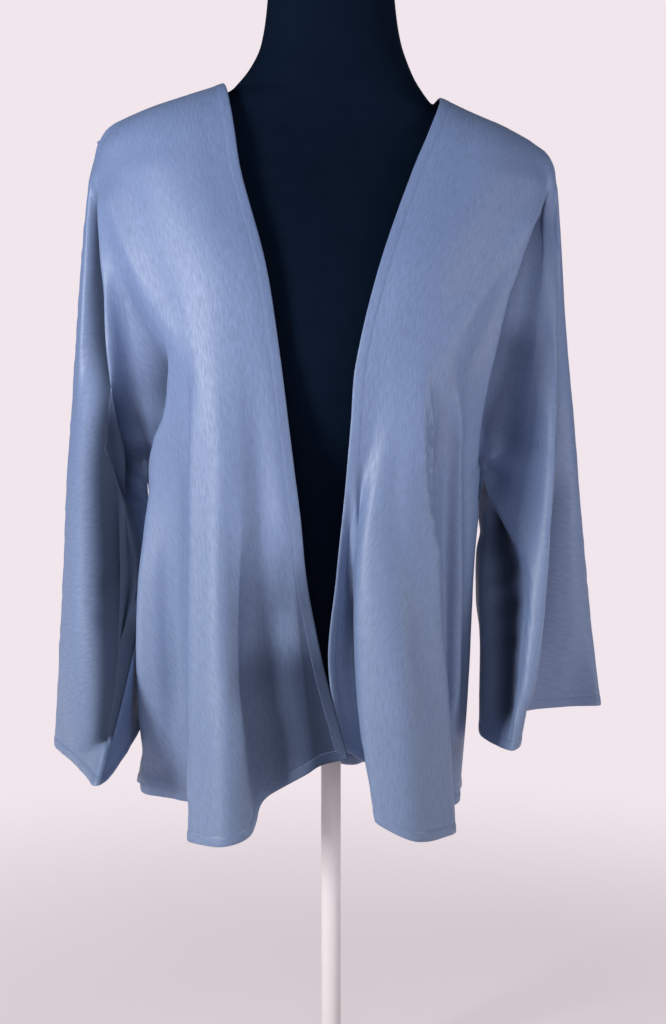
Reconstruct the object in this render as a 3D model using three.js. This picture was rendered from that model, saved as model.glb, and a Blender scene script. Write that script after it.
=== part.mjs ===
// An open-fronted kimono jacket in thin satin crepe, hung on a limbless dress form with a stand.
// Millimetres, +Z up. The jacket's front faces -Y. The origin is at the middle of the base's underside.
// Heights below are taken from the top of the base, and the whole is raised by its thickness at the end.
// "Right" and "left" are the wearer's, so the right front is on the -X side.
import * as THREE from "three";

// ---- Driving sizes -------------------------------------------------------------------------------
const WALL = 1.5; // thickness of a cloth wall
const SEAM_GAP = 0.3; // between two pieces that are sewn together
const ON_SHOULDER = 3; // a top row nearer the shoulder plane than this lies in it
const SHOULDER_LINE = 0.5; // a point nearer the shoulder plane than this stays there
const SEAM_SETBACK = 0.5; // each piece's edge stops this short of the seam line
const TIP_PULLS = 4; // times that the setback is taken again at a sleeve's tip
const UNDERARM_PULLS = 3; // and at the underarm
const BAND_WIDTH = 9; // turned hems and front edges
const BAND_WALL = 1;
const FORM_CLEARANCE = 4.2; // from the form to the middle of the cloth wall
const PUSH_SOFTNESS = 5; // how gently the cloth comes off the form
const YOKE_Z = 780; // above this the cloth lies on the form and clears it upwards too
const UNDERARM_Z = 540;
const STAND = { base_radius: 100, base_thick: 14, post_radius: 9, edge: 2 };
const FORM_BOTTOM = 345;
const FORM_TOP = 1005;
const FORM_SQUARENESS = 2.3; // power of the rounded sections, 2 is an ellipse
const DROOP = { size: 9, inner: 40, outer: 95, foot: 745, full: 805, neck: 895, head: 925 }; // of the left shoulder

// ---- Dress form: a row for each section, half width and depth before and behind the axis ----------
const FORM_SECTIONS = [
  { z: FORM_TOP, half_width: 50, front: 47, back: 49 },
  { z: 1001, half_width: 54, front: 51, back: 53 },
  { z: 990, half_width: 56, front: 53, back: 55 },
  { z: 963, half_width: 56, front: 53, back: 55 },
  { z: 924, half_width: 62, front: 56, back: 59 },
  { z: 904, half_width: 71, front: 57, back: 62 },
  { z: 887, half_width: 84, front: 58, back: 66 },
  { z: 878, half_width: 95, front: 58, back: 69 },
  { z: 866, half_width: 127, front: 58, back: 73 },
  { z: 852, half_width: 160, front: 59, back: 76 },
  { z: 841, half_width: 184, front: 61, back: 78 },
  { z: 830, half_width: 195, front: 64, back: 79 },
  { z: 816, half_width: 198, front: 68, back: 81 },
  { z: 795, half_width: 190, front: 76, back: 83 },
  { z: 750, half_width: 168, front: 93, back: 84 },
  { z: 700, half_width: 144, front: 108, back: 84 },
  { z: 645, half_width: 128, front: 115, back: 82 },
  { z: 590, half_width: 116, front: 107, back: 77 },
  { z: 540, half_width: 106, front: 92, back: 70 },
  { z: 480, half_width: 100, front: 81, back: 64 },
  { z: 420, half_width: 101, front: 80, back: 67 },
  { z: 362, half_width: 104, front: 82, back: 74 },
  { z: 350, half_width: 102, front: 80, back: 72 },
  { z: FORM_BOTTOM, half_width: 97, front: 75, back: 67 },
];

// The shoulder line: height of the cloth on each side over each distance from the middle.
const SHOULDER = [
  { out: 0, right: 883, left: 883 },
  { out: 50, right: 887, left: 885 },
  { out: 78, right: 890, left: 881 },
  { out: 95, right: 885, left: 875.5 },
  { out: 127, right: 873, left: 863 },
  { out: 160, right: 862.5, left: 850.5 },
  { out: 186, right: 851.5, left: 839 },
  { out: 197, right: 845, left: 832 },
  { out: 206, right: 833, left: 819 },
];

// ---- Section tables ------------------------------------------------------------------------------
// Each column is one line down the cloth, each row one section, and each cell is [x, y] there.
// "top" is on the shoulder line, the numbers are heights, and the last three sections lie at these
// parts of the way from the underarm to the hem. The hem's cells hold the height too.
const LOWER = { waist: 0.33, hip: 0.67, hem: 1 };

const RIGHT_FRONT = {
  lines: ["edge", "lap", "valley", "flute_in", "flute", "flute_out", "tuck", "fold", "side", "seam"],
  top: [[-98, 0], [-105, 0], [-113, 0], [-122, 0], [-132, 0], [-143, 0], [-154, 0], [-165, 0], [-176, 0], [-186, 0]],
  800: [[-88, -84], [-98, -84], [-110, -83], [-123, -82], [-136, -79], [-149, -74], [-161, -67], [-173, -57], [-184, -46], [-194, -34]],
  720: [[-70, -110], [-81, -112], [-94, -112], [-108, -110], [-123, -105], [-138, -97], [-152, -86], [-166, -73], [-178, -60], [-190, -46]],
  640: [[-59, -122], [-70, -124], [-83, -124], [-98, -123], [-113, -119], [-127, -111], [-138, -97], [-147, -80], [-157, -60], [-176, -42]],
  590: [[-53, -124], [-65, -126], [-79, -124], [-94, -125], [-111, -121], [-126, -110], [-136, -90], [-146, -70], [-158, -50], [-173, -26]],
  540: [[-47, -126], [-60, -127], [-76, -122], [-92, -126], [-110, -123], [-126, -108], [-134, -80], [-146, -54], [-163, -28], [-164, 4]],
  waist: [[-37, -127], [-50, -128], [-74, -117], [-91, -131], [-110, -130], [-128, -110], [-131, -64], [-149, -38], [-172, -25], [-154, 3]],
  hip: [[-23, -128], [-42, -127], [-73, -110], [-90, -136], [-109, -138], [-130, -112], [-124, -48], [-146, -33], [-173, -23], [-158, 3]],
  hem: [[-4, -128, 312], [-34, -124, 303], [-64, -105, 280], [-86, -136, 255], [-108, -144, 250], [-131, -114, 249],
    [-116, -40, 258], [-140, -24, 260], [-166, -13, 264], [-168, 8, 266]],
};

const LEFT_FRONT = {
  lines: ["edge", "lap", "valley", "flute_in", "flute", "flute_out", "tuck", "fold", "side", "seam"],
  top: [[93, 0], [101, 0], [109, 0], [119, 0], [130, 0], [141, 0], [152, 0], [163, 0], [174, 0], [184, 0]],
  800: [[57, -84], [70, -86], [84, -86], [99, -84], [114, -82], [129, -78], [144, -71], [160, -61], [176, -49], [188, -34]],
  720: [[25, -112], [37, -114], [50, -115], [65, -114], [82, -111], [99, -105], [116, -96], [134, -85], [151, -72], [170, -46]],
  640: [[4, -121], [14, -123], [26, -124], [42, -125], [60, -125], [79, -120], [96, -110], [111, -97], [127, -79], [152, -42]],
  590: [[0, -121], [8, -122], [18, -123], [34, -128], [54, -129], [76, -119], [90, -105], [104, -93], [119, -72], [144, -29]],
  540: [[-4, -120], [3, -120], [9, -119], [20, -129], [46, -132], [73, -116], [85, -96], [98, -88], [119, -63], [138, -12]],
  waist: [[-10, -119], [-2, -115], [7, -110], [6, -129], [40, -138], [76, -113], [86, -84], [98, -79], [119, -52], [120, -25]],
  hip: [[-17, -117], [-4, -111], [13, -104], [9, -130], [42, -144], [82, -110], [88, -77], [99, -72], [116, -46], [116, -29]],
  hem: [[-6, -114, 320], [4, -109, 314], [20, -102, 300], [17, -132, 268], [46, -147, 250], [88, -108, 246],
    [89, -70, 254], [99, -64, 256], [107, -53, 258], [104, -38, 260]],
};

// The back body, from each side seam to the middle.
const RIGHT_BACK = {
  lines: ["seam", "flank", "fold_out", "hollow", "neck", "fold_in", "centre"],
  top: [[-186, 0], [-172, 0], [-154, 0], [-128, 0], [-98, 0], [-56, 65], [0, 74]],
  800: [[-192, 30], [-176, 52], [-155, 68], [-126, 80], [-92, 86], [-48, 89], [0, 90]],
  720: [[-186, 34], [-170, 58], [-148, 76], [-118, 87], [-84, 91], [-44, 93], [0, 93]],
  640: [[-176, 34], [-160, 58], [-140, 78], [-110, 86], [-76, 95], [-40, 93], [0, 97]],
  590: [[-170, 22], [-158, 52], [-138, 76], [-106, 84], [-72, 97], [-38, 92], [0, 99]],
  540: [[-164, 4], [-156, 38], [-138, 70], [-104, 78], [-70, 99], [-36, 90], [0, 101]],
  waist: [[-154, 3], [-147, 34], [-136, 72], [-100, 76], [-68, 103], [-36, 88], [0, 105]],
  hip: [[-158, 3], [-158, 32], [-142, 78], [-98, 75], [-66, 108], [-34, 87], [0, 109]],
  hem: [[-168, 8, 266], [-174, 36, 264], [-150, 84, 262], [-98, 74, 262], [-64, 112, 262], [-32, 86, 262], [0, 113, 262]],
};

const LEFT_BACK = {
  lines: ["seam", "flank", "fold_out", "hollow", "neck", "fold_in", "centre"],
  top: [[184, 0], [170, 0], [152, 0], [124, 0], [93, 0], [54, 65], [0, 74]],
  800: [[188, 30], [174, 52], [154, 68], [125, 80], [90, 86], [48, 89], [0, 90]],
  720: [[176, 32], [164, 56], [146, 74], [116, 87], [82, 91], [44, 93], [0, 93]],
  640: [[160, 26], [152, 54], [136, 76], [108, 86], [74, 95], [40, 93], [0, 97]],
  590: [[148, 8], [146, 44], [130, 72], [104, 84], [72, 97], [38, 92], [0, 99]],
  540: [[138, -12], [134, 28], [124, 64], [100, 78], [70, 99], [36, 90], [0, 101]],
  waist: [[120, -25], [120, 12], [117, 58], [96, 76], [68, 103], [36, 88], [0, 105]],
  hip: [[116, -29], [121, 6], [119, 56], [94, 76], [66, 108], [34, 87], [0, 109]],
  hem: [[104, -38, 260], [117, -14, 260], [121, 50, 261], [92, 77, 262], [64, 112, 262], [32, 86, 262], [0, 113, 262]],
};

// Each sleeve, from the underarm seam round the front to the overarm seam and round the back.
// Above the underarm the loop opens, and its two "under" ends are the bodies' seam lines.
const RIGHT_SLEEVE = {
  lines: ["near", "face", "valley", "outer", "over", "back_outer", "back_mid", "back_in", "back_near", "under"],
  top: [[-191, 0], [-195, 0], [-199, 0], [-202, 0], [-205, 1], [-202, 2], [-199, 2], [-195, 2], [-191, 1], [-186, 0]],
  800: [[-202, -24], [-207, -17], [-210, -10], [-212, -3], [-213, 4], [-211, 12], [-207, 18], [-203, 23], [-198, 27], [-192, 30]],
  720: [[-200, -37], [-207, -28], [-213, -17], [-218, -5], [-221, 8], [-218, 20], [-212, 28], [-204, 33], [-195, 35], [-186, 34]],
  640: [[-196, -48], [-206, -38], [-214, -22], [-222, -5], [-227, 14], [-223, 30], [-213, 40], [-200, 43], [-187, 41], [-176, 34]],
  590: [[-193, -50], [-205, -38], [-214, -20], [-226, -2], [-231, 20], [-226, 37], [-213, 47], [-197, 48], [-181, 40], [-170, 22]],
  540: [[-184, -38], [-199, -30], [-214, -15], [-229, 3], [-235, 26], [-229, 43], [-213, 53], [-193, 51], [-174, 34], [-164, 4]],
  waist: [[-169, -6], [-187, -16], [-209, -8], [-231, 10], [-239, 36], [-231, 55], [-208, 62], [-182, 53], [-167, 32], [-164, 10]],
  hip: [[-187, -40], [-197, -38], [-214, -16], [-235, 18], [-244, 48], [-233, 68], [-206, 72], [-178, 52], [-171, 8], [-182, -34]],
  hem: [[-210, -89, 290], [-216, -64, 290], [-226, -22, 291], [-241, 24, 294], [-249, 58, 297], [-236, 80, 302],
    [-202, 84, 312], [-169, 60, 322], [-183, -20, 305], [-205, -87, 291]],
};

const LEFT_SLEEVE = {
  lines: ["near", "ridge", "valley", "outer", "over", "back_outer", "back_mid", "back_in", "back_near", "under"],
  top: [[189, 0], [193, 0], [196, 0], [199, 0], [202, 0], [200, 1], [197, 1], [194, 1], [189, 1], [184, 0]],
  800: [[194, -31], [199, -24], [203, -16], [205, -8], [206, 0], [205, 8], [202, 15], [198, 21], [194, 26], [188, 30]],
  720: [[184, -46], [199, -36], [205, -24], [210, -11], [212, 2], [209, 13], [204, 23], [196, 31], [186, 34], [176, 32]],
  640: [[174, -49], [196, -50], [204, -31], [214, -15], [219, 3], [215, 18], [205, 30], [190, 37], [174, 36], [160, 26]],
  590: [[168, -46], [191, -60], [200, -34], [217, -17], [224, 4], [218, 22], [203, 35], [182, 40], [162, 30], [148, 8]],
  540: [[164, -46], [187, -67], [196, -34], [220, -18], [229, 4], [222, 26], [201, 40], [173, 38], [148, 15], [138, -12]],
  waist: [[167, -77], [177, -79], [184, -34], [222, -16], [237, 3], [229, 27], [199, 38], [162, 28], [135, -12], [160, -68]],
  hip: [[159, -92], [165, -91], [176, -26], [226, -13], [244, -1], [235, 24], [199, 36], [158, 22], [134, -20], [154, -87]],
  hem: [[144, -97, 311], [150, -93, 313], [170, -18, 327], [219, -4, 330], [251, -7, 331], [241, 18, 331],
    [201, 35, 330], [155, 18, 322], [131, -32, 313], [141, -95, 311]],
};

// Rows of points down each line: parts of the way over the shoulder, heights, then parts of the way
// down from the underarm. The last row but one is the upper edge of the turned hem.
const SHOULDER_ROWS = [0, 0.03, 0.09, 0.18, 0.32, 0.55];
const HEIGHT_ROWS = [800, 760, 720, 680, 640, 615, 590, 565, UNDERARM_Z];
const LOWER_ROWS = [0.12, 0.25, 0.38, 0.51, 0.64, 0.77, 0.88];
const SECTION_HEIGHTS = [800, 720, 640, 590, UNDERARM_Z];
const ROOF = 0.28; // how soon the cloth turns down over the shoulder
const ROW_COUNT = SHOULDER_ROWS.length + HEIGHT_ROWS.length + LOWER_ROWS.length + 2;
const UNDERARM_ROW = SHOULDER_ROWS.length + HEIGHT_ROWS.length - 1;
const STEPS = 2; // points from one line to the next

// ---- Small helpers -------------------------------------------------------------------------------
const mix = (a, b, t) => a + (b - a) * t;

// Value of a named column of a table at a height or distance, smooth between the rows.
function lookUp(rows, key, at, column) {
  const sorted = [...rows].sort((a, b) => a[key] - b[key]);
  if (at <= sorted[0][key]) return sorted[0][column];
  const last = sorted.length - 1;
  if (at >= sorted[last][key]) return sorted[last][column];
  const i = sorted.findIndex((row) => row[key] > at) - 1;
  const slope = (k) => {
    const a = sorted[Math.max(k - 1, 0)];
    const b = sorted[Math.min(k + 1, last)];
    return (b[column] - a[column]) / (b[key] - a[key]);
  };
  const step = sorted[i + 1][key] - sorted[i][key];
  return hermite(sorted[i][column], sorted[i + 1][column], slope(i) * step, slope(i + 1) * step,
    (at - sorted[i][key]) / step);
}

function hermite(a, b, leaving, arriving, t) {
  const t2 = t * t;
  const t3 = t2 * t;
  return (2 * t3 - 3 * t2 + 1) * a + (t3 - 2 * t2 + t) * leaving + (3 * t2 - 2 * t3) * b + (t3 - t2) * arriving;
}

const shoulderZ = (x) => lookUp(SHOULDER, "out", Math.abs(x), x < 0 ? "right" : "left");

const rise = (low, high, value) => THREE.MathUtils.smoothstep(value, low, high);

// How much lower than the right one the form's left shoulder hangs.
function droop(x, z) {
  const across = rise(DROOP.inner, DROOP.outer, x);
  return DROOP.size * across * rise(DROOP.foot, DROOP.full, z) * (1 - rise(DROOP.neck, DROOP.head, z));
}

// Moves a point of the cloth forward or back until it clears the form.
function clearOfForm(point) {
  const z = point.z + droop(point.x, point.z) - (point.z > YOKE_Z ? FORM_CLEARANCE : 0);
  if (z < FORM_BOTTOM - FORM_CLEARANCE) return point;
  const half = lookUp(FORM_SECTIONS, "z", z, "half_width") + FORM_CLEARANCE;
  const side = point.y < 0 ? "front" : "back";
  const depth = lookUp(FORM_SECTIONS, "z", z, side) + FORM_CLEARANCE;
  const across = Math.abs(point.x) / half;
  if (across >= 1) return point;
  const least = depth * Math.pow(1 - Math.pow(across, FORM_SQUARENESS), 1 / FORM_SQUARENESS);
  if (Math.abs(point.y) < SHOULDER_LINE) return point;
  const apart = Math.abs(point.y) - least;
  const most = (Math.abs(point.y) + least + Math.hypot(apart, PUSH_SOFTNESS)) / 2;
  point.y = Math.sign(point.y) * most;
  return point;
}

// ---- Points of the cloth ---------------------------------------------------------------------------
// All the points down one line of a section table.
function pointsDown(table, column) {
  const hem = table.hem[column];
  const top = table.top[column];
  const knots = SECTION_HEIGHTS.map((z) => ({ z, x: table[z][column][0], y: table[z][column][1] }));
  for (const [name, part] of Object.entries(LOWER)) {
    const [x, y] = table[name][column];
    knots.push({ z: mix(UNDERARM_Z, hem[2], part), x, y });
  }
  const topZ = shoulderZ(top[0]);
  const roof = Math.abs(top[1]) < ON_SHOULDER ? ROOF : 1;
  const over = (part) => new THREE.Vector3(
    mix(top[0], knots[0].x, part),
    mix(top[1], knots[0].y, Math.pow(part, roof)),
    mix(topZ, knots[0].z, part),
  );
  const before = over(SHOULDER_ROWS[SHOULDER_ROWS.length - 1]);
  const chain = [{ z: before.z, x: before.x, y: before.y }, ...knots];
  const at = (z) => new THREE.Vector3(lookUp(chain, "z", z, "x"), lookUp(chain, "z", z, "y"), z);
  const drop = UNDERARM_Z - hem[2];
  const lower = [...LOWER_ROWS, 1 - BAND_WIDTH / drop, 1].map((part) => at(UNDERARM_Z - drop * part));
  return [...SHOULDER_ROWS.map(over), ...HEIGHT_ROWS.map(at), ...lower];
}

const linesOf = (table) => table.lines.map((name, column) => pointsDown(table, column));

// Points along one row, smooth through its lines, with STEPS points from each line to the next.
function smoothRow(points, closed) {
  const curve = new THREE.CatmullRomCurve3(points, closed, "centripetal");
  const spans = closed ? points.length : points.length - 1;
  return Array.from({ length: spans * STEPS + 1 }, (_, i) => curve.getPoint(i / (spans * STEPS)));
}

// The jacket's rows. Above the underarm one row runs from the right front edge over both sleeves and
// the back to the left front edge. Below it, the body and the two sleeves have rows of their own.
function jacketRows() {
  const front = { right: linesOf(RIGHT_FRONT), left: linesOf(LEFT_FRONT) };
  const sleeve = { right: linesOf(RIGHT_SLEEVE), left: linesOf(LEFT_SLEEVE) };
  const back = { right: linesOf(RIGHT_BACK), left: linesOf(LEFT_BACK) };
  const rows = [];
  for (let r = 0; r < ROW_COUNT; r++) {
    const pick = (lines) => lines.map((line) => line[r]);
    const backRow = [...pick(back.right), ...pick(back.left).reverse().slice(1)];
    const half = (side) => pick(sleeve[side]);
    if (r <= UNDERARM_ROW) {
      const upperSleeve = (side) => half(side).slice(0, -1);
      rows.push({
        all: smoothRow([...pick(front.right), ...upperSleeve("right"), ...backRow,
          ...upperSleeve("left").reverse(), ...pick(front.left).reverse()], false),
      });
    } else {
      const loop = (side) => {
        const lines = half(side);
        return smoothRow([lines[lines.length - 1], ...lines.slice(0, -1)], true);
      };
      rows.push({
        body: smoothRow([...pick(front.right), ...backRow.slice(1, -1), ...pick(front.left).reverse()], false),
        right: loop("right"),
        left: loop("left"),
      });
    }
  }
  return rows;
}

const FRONT_SPANS = RIGHT_FRONT.lines.length - 1;
const SLEEVE_SPANS = RIGHT_SLEEVE.lines.indexOf("over") + 1; // from a seam line to the overarm seam
const BACK_SPANS = 2 * (RIGHT_BACK.lines.length - 1);
const FRONT_COLUMNS = FRONT_SPANS * STEPS;
const HALF_SLEEVE = SLEEVE_SPANS * STEPS;
const BACK_COLUMNS = BACK_SPANS * STEPS;

// A panel's points: for each row the body's points and the sleeve's, which share the seam column down
// to the underarm. A front has one sleeve, and the back has two.
function frontPatches(rows, side) {
  const body = [];
  const sleeve = [];
  rows.forEach((row, r) => {
    const turn = (list) => (side === "right" ? list : [...list].reverse());
    if (r <= UNDERARM_ROW) {
      const all = turn(row.all);
      body.push(all.slice(0, FRONT_COLUMNS + 1));
      sleeve.push(all.slice(FRONT_COLUMNS, FRONT_COLUMNS + HALF_SLEEVE + 1));
    } else {
      body.push(turn(row.body).slice(0, FRONT_COLUMNS + 1));
      sleeve.push(row[side].slice(0, HALF_SLEEVE + 1));
    }
  });
  return { body, sleeves: [sleeve], side };
}

function backPatches(rows) {
  for (const p of rows[0].all) p.y = Math.abs(p.y) < ON_SHOULDER ? 0 : p.y;
  const body = [];
  const sleeves = [[], []];
  const start = FRONT_COLUMNS + HALF_SLEEVE;
  rows.forEach((row, r) => {
    if (r <= UNDERARM_ROW) {
      const first = start + HALF_SLEEVE;
      body.push(row.all.slice(first, first + BACK_COLUMNS + 1));
      sleeves[0].push(row.all.slice(start, first + 1).reverse());
      sleeves[1].push(row.all.slice(first + BACK_COLUMNS, first + BACK_COLUMNS + HALF_SLEEVE + 1));
    } else {
      body.push(row.body.slice(FRONT_COLUMNS, FRONT_COLUMNS + BACK_COLUMNS + 1));
      sleeves[0].push(row.right.slice(HALF_SLEEVE).reverse());
      sleeves[1].push(row.left.slice(HALF_SLEEVE).reverse());
    }
  });
  return { body, sleeves, side: "both" };
}

// ---- Walls -------------------------------------------------------------------------------------------
// The column of a panel's body that a sleeve is cut in one with.
const seamColumn = (side, sleeve, columns) => (side === "both" && sleeve === 0 ? 0 : columns - 1);

// A sheet is a list of points and of four-sided faces between them.
function sheetOf({ body, sleeves, side }) {
  const points = [];
  const add = (p) => points.push(clearOfForm(p.clone())) - 1;
  const grids = { body: body.map((row) => row.map(add)), sleeves: [] };
  sleeves.forEach((sleeve, s) => {
    const seam = seamColumn(side, s, body[0].length);
    grids.sleeves.push(sleeve.map((row, r) => row.map((p, c) => (
      c === 0 && r <= UNDERARM_ROW ? grids.body[r][seam] : add(p)
    ))));
  });
  const bodyFaces = facesOf(grids.body, side === "left");
  const sleeveFaces = grids.sleeves.map((grid, s) => facesOf(grid, side === "left" || (side === "both" && s === 0)));
  return { points, grids, side, faces: [...bodyFaces, ...sleeveFaces.flat()] };
}

// A panel's points with those along its seams drawn back from the seam lines.
function drawnBack({ points, grids, side }) {
  const bodySeams = side === "both" ? ["first", "last"] : ["last"];
  const moves = [];
  for (const sleeve of grids.sleeves) {
    sleeve.forEach((row, r) => {
      moves.push([row[row.length - 1], row[row.length - 2]]);
      if (r > UNDERARM_ROW) moves.push([row[0], row[1]]);
    });
    sleeve[0].forEach((id, c) => moves.push([id, sleeve[1][c]]));
    const tip = sleeve[0].length - 1;
    for (let i = 0; i < TIP_PULLS; i++) moves.push([sleeve[0][tip], sleeve[1][tip - 1]]);
  }
  for (const end of bodySeams) {
    grids.body.forEach((row, r) => {
      if (r > UNDERARM_ROW) moves.push(end === "first" ? [row[0], row[1]] : [row[row.length - 1], row[row.length - 2]]);
    });
  }
  grids.body[0].forEach((id, c) => moves.push([id, grids.body[1][c]]));
  grids.sleeves.forEach((_, s) => {
    const c = seamColumn(side, s, grids.body[0].length);
    const [from, to] = [grids.body[UNDERARM_ROW][c], grids.body[UNDERARM_ROW - 1][c]];
    for (let i = 0; i < UNDERARM_PULLS; i++) moves.push([from, to]);
  });
  const moved = points.map((p) => p.clone());
  for (const [from, to] of moves) {
    const step = points[to].clone().sub(points[from]).normalize();
    moved[from].addScaledVector(step, SEAM_SETBACK);
  }
  return moved;
}

function facesOf(grid, flip) {
  const faces = [];
  for (let r = 0; r + 1 < grid.length; r++) {
    for (let c = 0; c + 1 < grid[r].length; c++) {
      const face = [grid[r][c], grid[r + 1][c], grid[r + 1][c + 1], grid[r][c + 1]];
      faces.push(flip ? face.reverse() : face);
    }
  }
  return faces;
}

// The outward direction at each place of the cloth. Pieces that meet share it along their seam, so that
// their rims stay parallel.
const directions = new Map();
const placeName = (p) => p.toArray().map((v) => v.toFixed(2)).join(",");

function addDirections(points, faces) {
  for (const face of faces) {
    const [a, b, c, d] = face.map((i) => points[i]);
    const n = new THREE.Vector3().crossVectors(c.clone().sub(a), d.clone().sub(b));
    for (const i of face) {
      const name = placeName(points[i]);
      if (!directions.has(name)) directions.set(name, new THREE.Vector3());
      directions.get(name).add(n);
    }
  }
}

function directionAt(p) {
  const n = directions.get(placeName(p)).clone();
  if (Math.abs(p.y) < ON_SHOULDER) n.y = 0; // both sides of the shoulder seam stand in its own plane
  return n.normalize();
}

// A closed wall between two offsets of a sheet's faces, with rims where the sheet ends.
function wall(points, faces, normals, inner, outer) {
  const used = [...new Set(faces.flat())];
  const place = new Map(used.map((id, i) => [id, i]));
  const count = used.length;
  const flat = [];
  for (const offset of [outer, inner]) {
    for (const id of used) {
      const p = points[id].clone().addScaledVector(normals[id], offset);
      flat.push(p.x, p.y, p.z);
    }
  }
  const index = [];
  const quad = (a, b, c, d) => index.push(a, b, c, a, c, d);
  const edges = new Map();
  for (const face of faces) {
    const f = face.map((id) => place.get(id));
    quad(f[0], f[1], f[2], f[3]);
    quad(f[2] + count, f[1] + count, f[0] + count, f[3] + count);
    f.forEach((a, i) => edges.set(a + "," + f[(i + 1) % 4], [a, f[(i + 1) % 4]]));
  }
  for (const [a, b] of edges.values()) {
    if (!edges.has(b + "," + a)) quad(b, a, a + count, b + count);
  }
  return bufferGeometry(flat, index);
}

function bufferGeometry(flat, index) {
  const geometry = new THREE.BufferGeometry();
  geometry.setAttribute("position", new THREE.Float32BufferAttribute(flat, 3));
  geometry.setIndex(index);
  geometry.computeVertexNormals();
  return geometry;
}

// ---- The form and its stand ----------------------------------------------------------------------------
const FORM_SIDES = 32;
const FORM_HEIGHTS = [
  FORM_TOP, 1001, 990, 963, 924, 904, 894, 887, 882, 878, 872, 866, 859, 852, 846, 841, 835, 830, 823,
  816, 806, 795, 772, 750, 725, 700, 672, 645, 618, 590, 565, 540, 480, 420, 362, 350, FORM_BOTTOM,
];

function formGeometry() {
  const flat = [];
  const index = [];
  for (const z of FORM_HEIGHTS) {
    const half = lookUp(FORM_SECTIONS, "z", z, "half_width");
    for (let i = 0; i < FORM_SIDES; i++) {
      const turn = (i / FORM_SIDES) * 2 * Math.PI;
      const depth = lookUp(FORM_SECTIONS, "z", z, Math.sin(turn) < 0 ? "front" : "back");
      const round = (v) => Math.sign(v) * Math.pow(Math.abs(v), 2 / FORM_SQUARENESS);
      const x = half * round(Math.cos(turn));
      flat.push(x, depth * round(Math.sin(turn)), z - droop(x, z));
    }
  }
  const last = FORM_HEIGHTS.length - 1;
  for (let r = 0; r < last; r++) {
    for (let i = 0; i < FORM_SIDES; i++) {
      const j = (i + 1) % FORM_SIDES;
      const [a, b] = [r * FORM_SIDES + i, r * FORM_SIDES + j];
      index.push(a, a + FORM_SIDES, b + FORM_SIDES, a, b + FORM_SIDES, b);
    }
  }
  const top = flat.length / 3;
  flat.push(0, 0, FORM_TOP, 0, 0, FORM_BOTTOM);
  for (let i = 0; i < FORM_SIDES; i++) {
    const j = (i + 1) % FORM_SIDES;
    index.push(top, i, j, top + 1, last * FORM_SIDES + j, last * FORM_SIDES + i);
  }
  return bufferGeometry(flat, index);
}

// A turned piece from its outline of [radius, height] points, on the axis at both ends.
function turned(outline, sides) {
  const profile = outline.map(([radius, z]) => new THREE.Vector2(radius, z));
  return new THREE.LatheGeometry(profile, sides).rotateX(Math.PI / 2);
}

function baseGeometry() {
  const { base_radius: radius, base_thick: thick, edge } = STAND;
  const outline = [[0, -thick], [radius - edge, -thick], [radius, edge - thick], [radius, -edge], [radius - edge, 0], [0, 0]];
  return turned(outline, 48);
}

function postGeometry() {
  const foot = SEAM_GAP;
  const head = FORM_BOTTOM - SEAM_GAP;
  return turned([[0, foot], [STAND.post_radius, foot], [STAND.post_radius, head], [0, head]], 24);
}

// ---- Materials and assembly ------------------------------------------------------------------------------
const crepe = new THREE.MeshStandardMaterial({ color: 0x8090b8, roughness: 0.42, side: THREE.DoubleSide });
const hemCrepe = new THREE.MeshStandardMaterial({ color: 0x8898c0, roughness: 0.45 });
const blackForm = new THREE.MeshStandardMaterial({ color: 0x0c1420, roughness: 0.75 });
const paleSteel = new THREE.MeshStandardMaterial({ color: 0xe4e0e2, roughness: 0.45, metalness: 0.3 });

const group = new THREE.Group();
group.position.z = STAND.base_thick;
function addPiece(name, geometry, material) {
  const mesh = new THREE.Mesh(geometry, material);
  mesh.name = name;
  group.add(mesh);
}

// Adds a panel and the turned bands along its free edges.
function addPanel(name, sheet, bands) {
  const { grids, side } = sheet;
  const points = drawnBack(sheet);
  const normals = sheet.points.map(directionAt);
  addPiece(name, wall(points, sheet.faces, normals, -WALL / 2, WALL / 2), crepe);
  const lift = WALL / 2 + SEAM_GAP;
  for (const band of bands) {
    const faces = facesOf(band.cut(grids), band.flip);
    addPiece(band.name, wall(points, faces, normals, lift, lift + BAND_WALL), hemCrepe);
  }
}

const lastRows = (grid) => grid.slice(-2);

function addFront(side, sheet) {
  const flip = side === "left";
  addPanel("front_" + side, sheet, [
    { name: "front_band_" + side, cut: (g) => g.body.map((row) => row.slice(0, 2)), flip },
    { name: "hem_front_" + side, cut: (g) => lastRows(g.body).map((row) => row.slice(2)), flip },
    { name: "cuff_front_" + side, cut: (g) => lastRows(g.sleeves[0]), flip },
  ]);
}

const rows = jacketRows();
const rightFront = sheetOf(frontPatches(rows, "right"));
const leftFront = sheetOf(frontPatches(rows, "left"));
const back = sheetOf(backPatches(rows));
for (const sheet of [rightFront, leftFront, back]) addDirections(sheet.points, sheet.faces);

addPiece("form_torso", formGeometry(), blackForm);
addPiece("stand_post", postGeometry(), paleSteel);
addPiece("stand_base", baseGeometry(), paleSteel);
addFront("right", rightFront);
addFront("left", leftFront);
addPanel("back", back, [
  { name: "hem_back", cut: (g) => lastRows(g.body), flip: false },
  { name: "cuff_back_right", cut: (g) => lastRows(g.sleeves[0]), flip: true },
  { name: "cuff_back_left", cut: (g) => lastRows(g.sleeves[1]), flip: false },
]);

export default group;
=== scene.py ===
"""An open-fronted kimono jacket in thin satin crepe, hung on a limbless dress form.

Tables are in millimetres and their heights are taken from the top of the stand's base. The front faces -Y.
"Right" and "left" are the wearer's, so the right front is on the -X side.
"""
import math

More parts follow.
